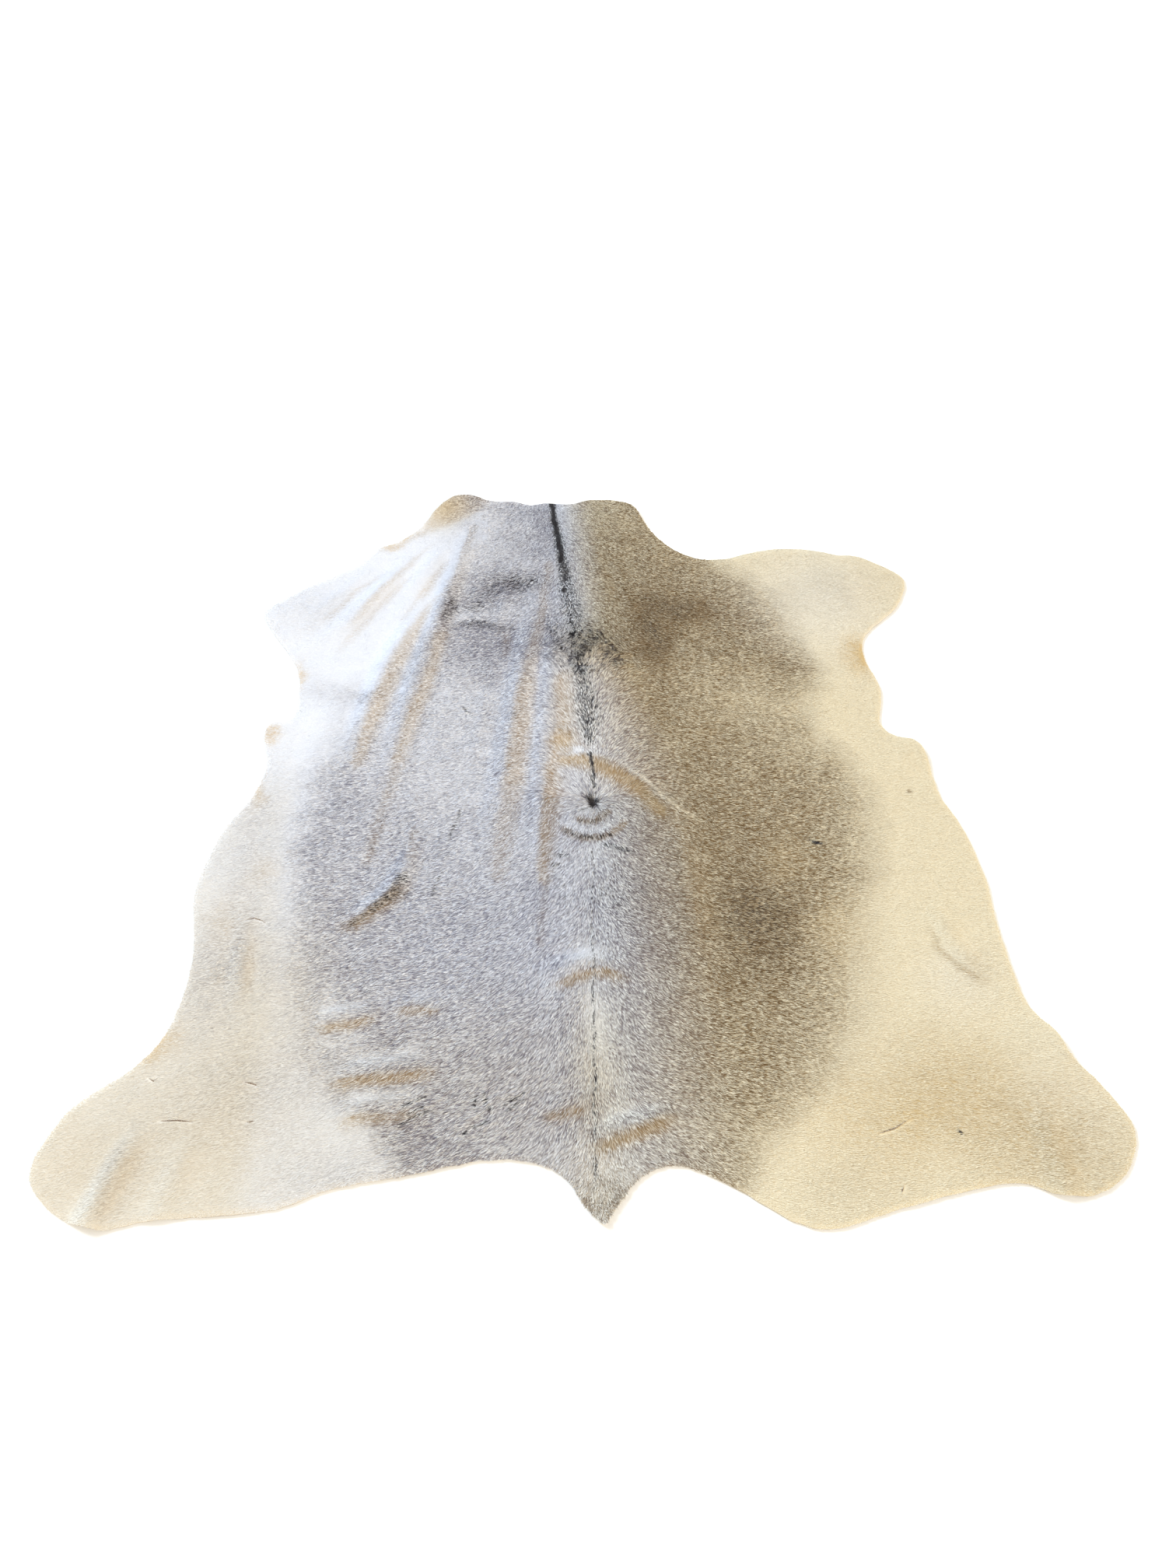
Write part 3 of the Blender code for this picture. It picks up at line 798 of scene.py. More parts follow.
def mesh_of(name: str, places: Array, triangles: Array) -> bpy.types.Mesh:
    """A mesh from arrays.

    Args:
        name: The mesh's name.
        places: One row of x, y, z for each point.
        triangles: One row of three point numbers for each face.

    Returns:
        The new mesh.
    """
    mesh = bpy.data.meshes.new(name)
    mesh.vertices.add(len(places))
    mesh.vertices.foreach_set("co", np.ascontiguousarray(places, np.float32).ravel())
    mesh.loops.add(triangles.size)
    mesh.loops.foreach_set("vertex_index", np.ascontiguousarray(triangles, np.int32).ravel())
    mesh.polygons.add(len(triangles))
    mesh.polygons.foreach_set("loop_start", np.arange(0, triangles.size, 3, dtype=np.int32))
    mesh.update(calc_edges=True)
    return mesh


def piece_of(mesh: bpy.types.Mesh, materials: Sequence[bpy.types.Material]) -> bpy.types.Object:
    """A piece in the scene that rides on the hide's body.

    Args:
        mesh: Its mesh.
        materials: Its materials, in the order of its slots.

    Returns:
        The new piece.
    """
    for material in materials:
        mesh.materials.append(material)
    piece = bpy.data.objects.new(mesh.name, mesh)
    bpy.context.scene.collection.objects.link(piece)
    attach(piece, BODY)
    return piece


@dataclass
class Lie:
    """How the hide lies, read from its solid: the cut edge, and the leather's height at every place."""

    node: bpy.types.Object
    step: float = 0.006
    margin: float = 0.036
    softening: int = 2
    steepest_top: float = 0.65
    unevenness: float = 0.0007
    edge_spacing: float = 0.008
    edge_roughness: float = 0.0012
    edge: Array = field(init=False)
    within: Chart = field(init=False)
    top: Chart = field(init=False)

    def __post_init__(self) -> None:
        solid = bmesh.new()
        solid.from_mesh(self.node.data)
        bmesh.ops.remove_doubles(solid, verts=solid.verts, dist=1e-5)
        self.edge = self._cut(self._rim(solid))
        tree = BVHTree.FromBMesh(solid)
        solid.free()
        low = self.edge.min(0) - self.margin
        count = np.ceil((self.edge.max(0) + self.margin - low) / self.step).astype(int) + 1
        self.top = Chart(low, self.step, np.full(count, np.nan))
        places = self.top.places()
        for place, (i, j) in zip(places, np.ndindex(*count)):
            hit = tree.ray_cast((*place, 1), (0, 0, -1))[0]
            if hit is not None:
                self.top.values[i, j] = hit.z - COAT
        self.top.values = self._soften(self._extend(self.top.values)) + self._wrinkles(places).reshape(count)
        away = along_and_away(np.vstack([self.edge, self.edge[:1]]), places)[1]
        signed = np.where(inside(self.edge, places), away, -away)
        self.within = Chart(low, self.step, signed.reshape(count))

    def _rim(self, solid: bmesh.types.BMesh) -> Array:
        """The edge of the solid's top face, in order.

        Args:
            solid: The welded solid.

        Returns:
            The edge's x, y points.
        """
        solid.normal_update()
        beside: dict[int, list[int]] = {}
        for line in solid.edges:
            up = [face.normal.z > self.steepest_top for face in line.link_faces]
            down = [face.normal.z < -self.steepest_top for face in line.link_faces]
            if sum(up) == 1 and not any(down):
                a, b = (point.index for point in line.verts)
                beside.setdefault(a, []).append(b)
                beside.setdefault(b, []).append(a)
        solid.verts.ensure_lookup_table()
        start = min(beside, key=lambda i: solid.verts[i].co.y)
        order = [start, beside[start][0]]
        while order[-1] != start:
            order.append(next(i for i in beside[order[-1]] if i != order[-2]))
        return np.array([solid.verts[i].co.xy for i in order[:-1]])

    def _cut(self, rim: Array) -> Array:
        """The rim a little uneven, as a knife leaves it.

        Args:
            rim: The solid's own rim.

        Returns:
            The cut edge's x, y points.
        """
        closed = np.vstack([rim, rim[:1]])
        distance = np.append(0, np.cumsum(np.linalg.norm(np.diff(closed, axis=0), axis=1)))
        stops = np.linspace(0, distance[-1], round(distance[-1] / self.edge_spacing) + 1)[:-1]
        edge = np.column_stack([np.interp(stops, distance, closed[:, axis]) for axis in (0, 1)])
        shift = [mottle(edge, 0.018, seed) for seed in (41, 42)]
        return edge + self.edge_roughness * np.column_stack(shift)

    def _extend(self, grid: Array) -> Array:
        """The heights with those just past the edge filled in from their neighbours.

        Args:
            grid: Heights, with nan past the edge.

        Returns:
            Heights with no nan.
        """
        for _ in range(round(self.margin / self.step) + 3):
            near = np.stack([np.roll(grid, shift, axis) for axis in (0, 1) for shift in (-1, 1)])
            known = np.isfinite(near)
            mean = np.where(known, near, 0).sum(0) / np.maximum(known.sum(0), 1)
            grid = np.where(np.isfinite(grid) | ~known.any(0), grid, mean)
        return np.nan_to_num(grid, nan=LEATHER)

    def _soften(self, grid: Array) -> Array:
        """The heights with the solid's facets rounded off.

        Args:
            grid: Heights.

        Returns:
            The softer heights.
        """
        for _ in range(self.softening):
            for axis in (0, 1):
                grid = (np.roll(grid, 1, axis) + 2 * grid + np.roll(grid, -1, axis)) / 4
        return grid

    def _wrinkles(self, places: Array) -> Array:
        """How much the fine creases and the skin's own unevenness add to the height.

        Args:
            places: The x, y places.

        Returns:
            One small height for each.
        """
        total = self.unevenness * (1 + mottle(places, 0.070, 61)) + 0.4 * self.unevenness * mottle(places, 0.025, 62)
        for crease in CREASES:
            line = smoothed(np.array(crease.points), self.step)
            total += crease.height * soft_line(line, places, (crease.width, crease.width), 2, 0.3)
        return np.maximum(total, 0)

    def height(self, points: Array) -> Array:
        """The leather's top at each place.

        Args:
            points: The x, y places.

        Returns:
            One height for each.
        """
        return self.top.read(points)

    def slope(self, points: Array) -> Array:
        """How much the leather rises along x and along y at each place.

        Args:
            points: The x, y places.

        Returns:
            One row of two slopes for each.
        """
        ahead = np.array([self.step, 0]), np.array([0, self.step])
        rises = [self.height(points + step) - self.height(points - step) for step in ahead]
        return np.column_stack(rises) / (2 * self.step)

    def area(self) -> float:
        """The area within the cut edge."""
        x, y = self.edge.T
        return float(abs((x * np.roll(y, -1) - y * np.roll(x, -1)).sum()) / 2)


@dataclass(frozen=True)
class Markings:
    """Where the coat is grey, black, warm or tan, with the shade and highlights painted beside its folds and warm lamp
    light painted on its right side.
    """

    lie: Lie
    wander: float = 0.011
    # The saddle is paler on the left, partly as painted window sheen, and darker on the right, partly in its own
    # colour
    left_grey: float = 0.42
    right_grey: float = 0.66
    patchiness: float = 0.05
    rim_width: float = 0.010
    rim_tan: float = 0.07

    def _wandered(self, points: Array) -> Array:
        """The places pushed about a little, so that no mark has a smooth edge."""
        shift = [mottle(points, 0.045, seed) + 0.5 * mottle(points, 0.014, seed + 1) for seed in (11, 21)]
        return points + self.wander * np.column_stack(shift)

    def _blotches(self, blotches: Sequence[Blotch], points: Array) -> Array:
        """How strongly a set of blotches marks each place.

        Args:
            blotches: The set.
            points: The x, y places.

        Returns:
            The sum of their strengths at each.
        """
        total = np.zeros(len(points))
        for blotch in blotches:
            reach = 2.4 * max(blotch.across, blotch.along)
            near = np.flatnonzero((np.abs(points - (blotch.x, blotch.y)) < reach).all(1))
            x, y = (points[near] - (blotch.x, blotch.y)).T
            turn = radians(blotch.turn)
            across = (x * cos(turn) + y * sin(turn)) / blotch.across
            along = (y * cos(turn) - x * sin(turn)) / blotch.along
            total[near] += blotch.strength * np.exp(-(across**2 + along**2))
        return total

    def _painted_fold_light(self, points: Array) -> tuple[Array, Array]:
        """How much the painted shade and highlights beside the folds add to the grey and to the tan at each place."""
        added, taken = np.zeros((2, 2, len(points)))
        for streak in RIPPLE_PAINTED_LIGHT + CREASE_PAINTED_LIGHT:
            line = smoothed(np.array(streak.points), 0.02)
            fade = 0.28 if streak in CREASE_PAINTED_LIGHT else 0
            widths = (streak.first_width, streak.last_width)
            band = soft_line(line, points, widths, streak.blunt, fade, streak.lean)
            marked = np.outer((streak.grey, streak.tan), band)
            added, taken = np.maximum(added, marked), np.minimum(taken, marked)
        grey, tan = added + taken
        return grey, tan

    def _dark_lines(self, points: Array) -> Array:
        """How black the dark lines are at each place: the lines along the spine, and the painted shade in the whorl's
        rings, the rump wrinkles and the flank pucker.
        """
        total = np.zeros(len(points))
        for line in DARK_LINES:
            band = soft_line(line.points, points, (line.first_width, line.last_width), 2.4)
            total = np.maximum(total, line.grey * band)
        return total

    def saddle(self, points: Array) -> Array:
        """How far each place belongs to the grey saddle, from 0 to 1."""
        rows = SADDLE[::-1]
        levels, *columns = zip(*rows)
        left, left_fade, right, right_fade = (np.interp(points[:, 1], levels, column) for column in columns)
        x = points[:, 0]
        return ease((x - left) / left_fade + 0.5) * ease((right - x) / right_fade + 0.5)

    def warmth(self, points: Array) -> Array:
        """How warm the coat is at each place: the right side, and a little at the left hind leg. The right side's
        warmth is partly the coat's own tone and partly painted warm lamp light.
        """
        x, y = points.T
        neck = ease(y / 0.5)
        right = ease((x + 0.05 - 0.06 * neck) / (0.36 - 0.22 * neck))
        rump = 0.28 * ease((-0.45 - y) / 0.35) * ease((x + 0.60) / 0.30) * (1 - right)
        flank = 0.22 * ease((-0.58 - x) / 0.08) * ease((0.15 - y) / 0.25)
        leg = 0.40 * ease((-0.1 - y) / 0.8) * ease((-0.25 - x) / 0.4)
        return right + rump + flank + leg + self._blotches(WARM_BLOTCHES, points)

    def read(self, points: Array) -> Array:
        """All the marks at each place.

        Args:
            points: The x, y places.

        Returns:
            One row for each: grey, black, warm and tan, from 0 to 1.
        """
        loose = self._wandered(points)
        warm = self.warmth(points)
        # Painted shade and highlights beside the folds, as grey and tan
        painted_light_grey, painted_light_tan = self._painted_fold_light(points + 0.4 * (loose - points))
        patches = self.patchiness * (mottle(points, 0.055, 71) + 0.7 * mottle(points, 0.018, 72))
        saddle = self.saddle(loose)
        grey = saddle * (self.left_grey + (self.right_grey - self.left_grey) * warm + patches)
        grey += self._blotches(GREY_BLOTCHES, loose) + painted_light_grey * np.clip(0.25 + saddle, 0, 1)
        black = np.maximum(self._blotches(BLACK_BLOTCHES, loose), self._dark_lines(points + 0.3 * (loose - points)))
        rim = self.rim_tan * np.exp(-((np.maximum(self.lie.within.read(points), 0) / self.rim_width) ** 2))
        tan = self._blotches(STAINS, loose) + painted_light_tan + rim
        return np.clip(np.column_stack([grey, black, warm, tan]), 0, 1)


@dataclass(frozen=True)
class HairFlow:
    """Which way the hair lies: back and outwards, forward between whorl and crest, and out all round the whorl."""

    spread: float = 0.20
    forward_width: float = 0.15
    whorl_size: float = 0.055
    sway: float = 14.0
    tousle: float = 0.075

    def turned_forward(self, points: Array) -> Array:
        """How far the hair at each place points to the neck instead of the tail, from 0 to 1."""
        away = points[:, 0] - np.interp(points[:, 1], *np.array(SPINE)[::-1, ::-1].T)
        past_whorl = ease((points[:, 1] - WHORL[1]) / 0.04)
        before_crest = ease((CREST[1] - points[:, 1] + self.tousle * mottle(points, 0.020, 35)) / 0.04)
        return past_whorl * before_crest * np.exp(-((away / self.forward_width) ** 2))

    def direction(self, points: Array) -> Array:
        """The way that the hair at each place points over the floor plan.

        Args:
            points: The x, y places.

        Returns:
            One unit vector for each.
        """
        away = points[:, 0] - np.interp(points[:, 1], *np.array(SPINE)[::-1, ::-1].T)
        spread = 1 - np.exp(-np.abs(away) / self.spread)
        out = np.tanh(away / 0.015) * (0.25 + 0.95 * spread)
        back = -(1 - 2 * self.turned_forward(points)) * (1 - 0.68 * spread)
        flow = np.column_stack([out, back])
        radial = points - WHORL
        distance = np.linalg.norm(radial, axis=1, keepdims=True)
        pull = np.exp(-((distance / self.whorl_size) ** 2))
        flow = flow * (1 - pull) + radial / np.maximum(distance, 1e-6) * pull
        return turned(flow / np.linalg.norm(flow, axis=1, keepdims=True), self.sway * mottle(points, 0.035, 31))

    def locks(self, points: Array, width: float, length: float, seed: int) -> Array:
        """Noise drawn out along the hair, so that neighbouring hairs share it in small locks.

        Args:
            points: The x, y places.
            width: About how wide a lock is.
            length: How long it is.
            seed: Which of the many patterns.

        Returns:
            A value mostly from -1 to 1 for each place, further below zero than above.
        """
        course = self.direction(points)
        stops = np.linspace(-0.5, 0.5, 5) * length
        drawn = sum(mottle(points + stop * course, width, seed) for stop in stops) / len(stops) ** 0.5
        return drawn - 0.6 * (drawn**2 - 0.2)


class Nodes:
    """Short ways to build the nodes of one tree."""

    def __init__(self, tree: bpy.types.NodeTree) -> None:
        self.tree = tree

    def add(self, kind: str, inputs: dict[Any, Any] | None = None, **settings: Any) -> bpy.types.Node:
        """A node with its settings, and its inputs given as values or as sockets to link.

        Args:
            kind: The node's type.
            inputs: What goes into each input, by name or number.
            settings: The node's own properties.

        Returns:
            The new node.
        """
        node = self.tree.nodes.new(kind)
        for name, value in settings.items():
            setattr(node, name, value)
        for name, value in (inputs or {}).items():
            if isinstance(value, bpy.types.NodeSocket):
                self.tree.links.new(value, node.inputs[name])
            else:
                node.inputs[name].default_value = value
        return node

    def mix(self, share: Any, first: Any, second: Any, blend: str = "MIX") -> bpy.types.NodeSocket:
        """One colour mixed into another.

        Args:
            share: How much of the second, as a value or socket.
            first: A colour or socket.
            second: A colour or socket.
            blend: How they mix.

        Returns:
            The mixed colour's socket.
        """
        colours = [c if isinstance(c, bpy.types.NodeSocket) else (*c, 1) for c in (first, second)]
        inputs = {0: share, 6: colours[0], 7: colours[1]}
        return self.add("ShaderNodeMix", inputs, data_type="RGBA", blend_type=blend).outputs[2]

    def math(self, operation: str, *values: Any) -> bpy.types.NodeSocket:
        """One sum of values or sockets."""
        return self.add("ShaderNodeMath", dict(enumerate(values)), operation=operation).outputs[0]


@dataclass(frozen=True)
class CoatColours:
    """The coat's hair colours, and the shader group that mixes them by the marks."""

    name: str = "coat colour"
    # The cool colours, used on the left, are painted cool window light on the hair; the warm ones, on the right, are
    # partly painted warm lamp light
    cool_cream: Colour = (0.820, 0.850, 0.925)
    warm_cream: Colour = (0.740, 0.655, 0.482)
    cool_grey: Colour = (0.232, 0.232, 0.306)
    warm_brown: Colour = (0.190, 0.114, 0.042)
    near_black: Colour = (0.024, 0.020, 0.024)
    cool_tan: Colour = (0.640, 0.490, 0.300)
    warm_tan: Colour = (0.600, 0.440, 0.210)
    dark_tan: Colour = (0.350, 0.240, 0.115)

    def group(self) -> bpy.types.NodeTree:
        """The group, built once.

        Returns:
            A group that takes Marks, Tan and Shade and gives Colour.
        """
        if self.name in bpy.data.node_groups:
            return bpy.data.node_groups[self.name]
        tree = bpy.data.node_groups.new(self.name, "ShaderNodeTree")
        tree.interface.new_socket("Marks", in_out="INPUT", socket_type="NodeSocketColor")
        tree.interface.new_socket("Tan", in_out="INPUT", socket_type="NodeSocketFloat")
        tree.interface.new_socket("Shade", in_out="INPUT", socket_type="NodeSocketFloat")
        tree.interface.new_socket("Colour", in_out="OUTPUT", socket_type="NodeSocketColor")
        nodes = Nodes(tree)
        given = nodes.add("NodeGroupInput").outputs
        marks = nodes.add("ShaderNodeSeparateColor", {0: given["Marks"]}).outputs
        grey, black, warm = marks[0], marks[1], marks[2]
        grey = nodes.math("MULTIPLY", grey, nodes.math("MULTIPLY_ADD", given["Tan"], -0.25, 1.0))
        cream = nodes.mix(warm, self.cool_cream, self.warm_cream)
        dark = nodes.mix(warm, self.cool_grey, self.warm_brown)
        # Darker hairs take on more of the tan than pale ones
        uneven = nodes.math("MULTIPLY", given["Tan"], nodes.math("MULTIPLY_ADD", given["Tan"], 1.5, -1.5))
        tan = nodes.math("MULTIPLY_ADD", given["Shade"], uneven, given["Tan"])
        cream = nodes.mix(tan, cream, nodes.mix(warm, self.cool_tan, self.warm_tan))
        dark = nodes.mix(tan, dark, self.dark_tan)
        # Where grey and cream hairs grow together, each hair is more one or the other
        both = nodes.math("MULTIPLY", nodes.math("POWER", grey, 1.5), nodes.math("SUBTRACT", 1.2, grey))
        swing = nodes.math("MULTIPLY_ADD", both, 2.6, 0.03)
        own_grey = nodes.math("MULTIPLY_ADD", nodes.math("MULTIPLY", given["Shade"], -1.0), swing, grey)
        coat = nodes.mix(own_grey, cream, dark)
        # A black mark turns some hairs black and leaves others
        loose = nodes.math("MULTIPLY", nodes.math("SUBTRACT", 1.25, black), -0.75)
        lean = nodes.math("MULTIPLY_ADD", given["Shade"], loose, black)
        share = nodes.add(
            "ShaderNodeMapRange", {0: lean, 1: 0.15, 2: 0.80, 3: 0.0, 4: 1.0}, interpolation_type="SMOOTHSTEP"
        ).outputs[0]
        fade = nodes.math("MINIMUM", nodes.math("MULTIPLY", black, 4.0), 1.0)
        coat = nodes.mix(nodes.math("MULTIPLY", share, fade), coat, self.near_black)
        nodes.add("NodeGroupOutput", {0: coat})
        return tree

    def apply(self, nodes: "Nodes", shade: bpy.types.NodeSocket, surface: bpy.types.Node) -> None:
        """Gives a surface the coat's colour.

        Args:
            nodes: The material's node builder.
            shade: Each place's own shade, from -1 to 1.
            surface: The Principled node.
        """
        marks = nodes.add("ShaderNodeAttribute", attribute_name=MARKS).outputs
        inputs = {"Marks": marks["Color"], "Tan": marks["Alpha"], "Shade": shade}
        mixed = nodes.add("ShaderNodeGroup", node_tree=self.group())
        for name, socket in inputs.items():
            nodes.tree.links.new(socket, mixed.inputs[name])
        nodes.tree.links.new(mixed.outputs["Colour"], surface.inputs["Base Color"])


@dataclass(frozen=True)
class HairFinish:
    """The coat's hairs: silky, each a little paler at its tip and darker at its root, where the shade between hairs is
    painted.
    """

    colours: CoatColours = CoatColours()
    roughness: float = 0.55
    specular: float = 0.35

    def material(self) -> bpy.types.Material:
        """The hairs' material."""
        material, nodes, surface = new_material("hair")
        shade = nodes.add("ShaderNodeAttribute", attribute_name=SHADE).outputs["Fac"]
        self.colours.apply(nodes, shade, surface)
        surface.inputs["Roughness"].default_value = self.roughness
        surface.inputs["Specular IOR Level"].default_value = self.specular
        return material


@dataclass(frozen=True)
class SkinFinish:
    """The leather under the hair: the coat's own colour, finely streaked and darker, as painted shade where hairs part
    over it.
    """

    colours: CoatColours = CoatColours()
    roughness: float = 0.8

    def material(self) -> bpy.types.Material:
        """The hair side's material."""
        material, nodes, surface = new_material("skin under the hair")
        place = nodes.add("ShaderNodeTexCoord").outputs["Object"]
        streaks = nodes.add("ShaderNodeTexNoise", {"Vector": place, "Scale": 260.0, "Detail": 3.0})
        # Mostly below zero: the skin is painted darker, as the shade between the hairs
        shade = nodes.add("ShaderNodeMapRange", {0: streaks.outputs[0], 1: 0.3, 2: 0.7, 3: -0.9, 4: 0.2}).outputs[0]
        self.colours.apply(nodes, shade, surface)
        bump = nodes.add("ShaderNodeBump", {"Height": streaks.outputs[0], "Strength": 0.4, "Distance": 0.001})
        nodes.tree.links.new(bump.outputs[0], surface.inputs["Normal"])
        surface.inputs["Roughness"].default_value = self.roughness
        return material


@dataclass(frozen=True)
class SuedeFinish:
    """The flesh side and the cut edge: napped grey-white suede with fibres, veins and a few cloudy patches."""

    pale: Colour = (0.640, 0.590, 0.520)
    dull: Colour = (0.430, 0.385, 0.330)
    vein: Colour = (0.360, 0.300, 0.245)
    roughness: float = 0.95

    def material(self) -> bpy.types.Material:
        """The flesh side's material."""
        material, nodes, surface = new_material("suede")
        place = nodes.add("ShaderNodeTexCoord").outputs["Object"]
        clouds = nodes.add("ShaderNodeTexNoise", {"Vector": place, "Scale": 7.0, "Detail": 5.0, "Roughness": 0.6})
        nap = nodes.add("ShaderNodeTexNoise", {"Vector": place, "Scale": 420.0, "Detail": 3.0})
        warped = nodes.mix(0.08, place, clouds.outputs["Color"])
        web = nodes.add("ShaderNodeTexVoronoi", {"Vector": warped, "Scale": 9.0}, feature="DISTANCE_TO_EDGE")
        line = nodes.add("ShaderNodeMapRange", {0: web.outputs[0], 1: 0.0, 2: 0.03, 3: 0.35, 4: 0.0}).outputs[0]
        patch = nodes.add("ShaderNodeMapRange", {0: clouds.outputs[0], 1: 0.40, 2: 0.68}).outputs[0]
        base = nodes.mix(patch, self.pale, self.dull)
        base = nodes.mix(line, base, self.vein)
        fibre = nodes.add("ShaderNodeMapRange", {0: nap.outputs[0], 1: 0.3, 2: 0.7, 3: 0.0, 4: 0.28}).outputs[0]
        nodes.tree.links.new(nodes.mix(fibre, base, self.dull), surface.inputs["Base Color"])
        bump = nodes.add("ShaderNodeBump", {"Height": nap.outputs[0], "Strength": 0.5, "Distance": 0.001})
        nodes.tree.links.new(bump.outputs[0], surface.inputs["Normal"])
        surface.inputs["Roughness"].default_value = self.roughness
        return material


@dataclass(frozen=True)
class ScarFinish:
    """Healed skin: bare, pale and waxy, brown along its lips."""

    pale: Colour = (0.560, 0.470, 0.370)
    brown: Colour = (0.130, 0.085, 0.055)
    roughness: float = 0.6

    def material(self) -> bpy.types.Material:
        """The scars' material."""
        material, nodes, surface = new_material("scar")
        place = nodes.add("ShaderNodeTexCoord").outputs["Object"]
        grain = nodes.add("ShaderNodeTexNoise", {"Vector": place, "Scale": 600.0, "Detail": 2.0})
        share = nodes.add("ShaderNodeMapRange", {0: grain.outputs[0], 1: 0.34, 2: 0.52}).outputs[0]
        nodes.tree.links.new(nodes.mix(share, self.pale, self.brown), surface.inputs["Base Color"])
        surface.inputs["Roughness"].default_value = self.roughness
        return material


@dataclass(frozen=True)
class FloorFinish:
    """A plain matt white floor."""

    colour: Colour = (0.900, 0.900, 0.900)
    roughness: float = 0.9

    def material(self) -> bpy.types.Material:
        """The floor's material."""
        material, _, surface = new_material("floor")
        surface.inputs["Base Color"].default_value = (*self.colour, 1)
        surface.inputs["Roughness"].default_value = self.roughness
        return material


def new_material(name: str) -> tuple[bpy.types.Material, Nodes, bpy.types.Node]:
    """An empty material.

    Args:
        name: Its name.

    Returns:
        The material, its node builder and its Principled node.
    """
    material = bpy.data.materials.new(name)
    material.use_nodes = True
    material.node_tree.nodes.clear()
    nodes = Nodes(material.node_tree)
    surface = nodes.add("ShaderNodeBsdfPrincipled")
    nodes.add("ShaderNodeOutputMaterial", {0: surface.outputs[0]})
    return material, nodes, surface


@dataclass
class Leather:
    """The skin: a fine sheet on the solid's folds, hairy above and suede below."""

    lie: Lie
    markings: Markings
    spacing: float = 0.0135
    thickness: float = LEATHER - 0.0003

    def build(self) -> bpy.types.Object:
        """The sheet, dressed.

        Returns:
            The leather's piece.
        """
        edge = self.lie.edge
        low, high = edge.min(0), edge.max(0)
        columns = np.arange(low[0], high[0], self.spacing)
        rows = np.arange(low[1], high[1], self.spacing * sin(pi / 3))
        ground = np.vstack([
            np.column_stack([columns + self.spacing / 2 * (i % 2), np.full(len(columns), y)])
            for i, y in enumerate(rows)
        ])
        ground = ground[self.lie.within.read(ground) > self.spacing / 2]
        points = np.vstack([edge, ground])
        rim = [(i, (i + 1) % len(edge)) for i in range(len(edge))]
        made, _, triangles, *_ = delaunay_2d_cdt(points.tolist(), rim, [], 0, 1e-6, False)
        points, triangles = np.array([tuple(point) for point in made]), np.array(triangles)
        triangles = triangles[inside(edge, points[triangles].mean(1))]
        mesh = mesh_of("leather", np.column_stack([points, self.lie.height(points)]), triangles)
        mesh.shade_smooth()
        marks = mesh.attributes.new(MARKS, "FLOAT_COLOR", "POINT")
        marks.data.foreach_set("color", self.markings.read(points).astype(np.float32).ravel())
        sheet = piece_of(mesh, [SkinFinish().material(), SuedeFinish().material()])
        skin = sheet.modifiers.new("thickness", "SOLIDIFY")
        skin.thickness = self.thickness
        skin.offset = -1
        skin.material_offset = Side.FLESH.value
        skin.material_offset_rim = Side.FLESH.value
        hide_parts(NODE)
        LOG.info("leather: %d triangles on top", len(triangles))
        return sheet


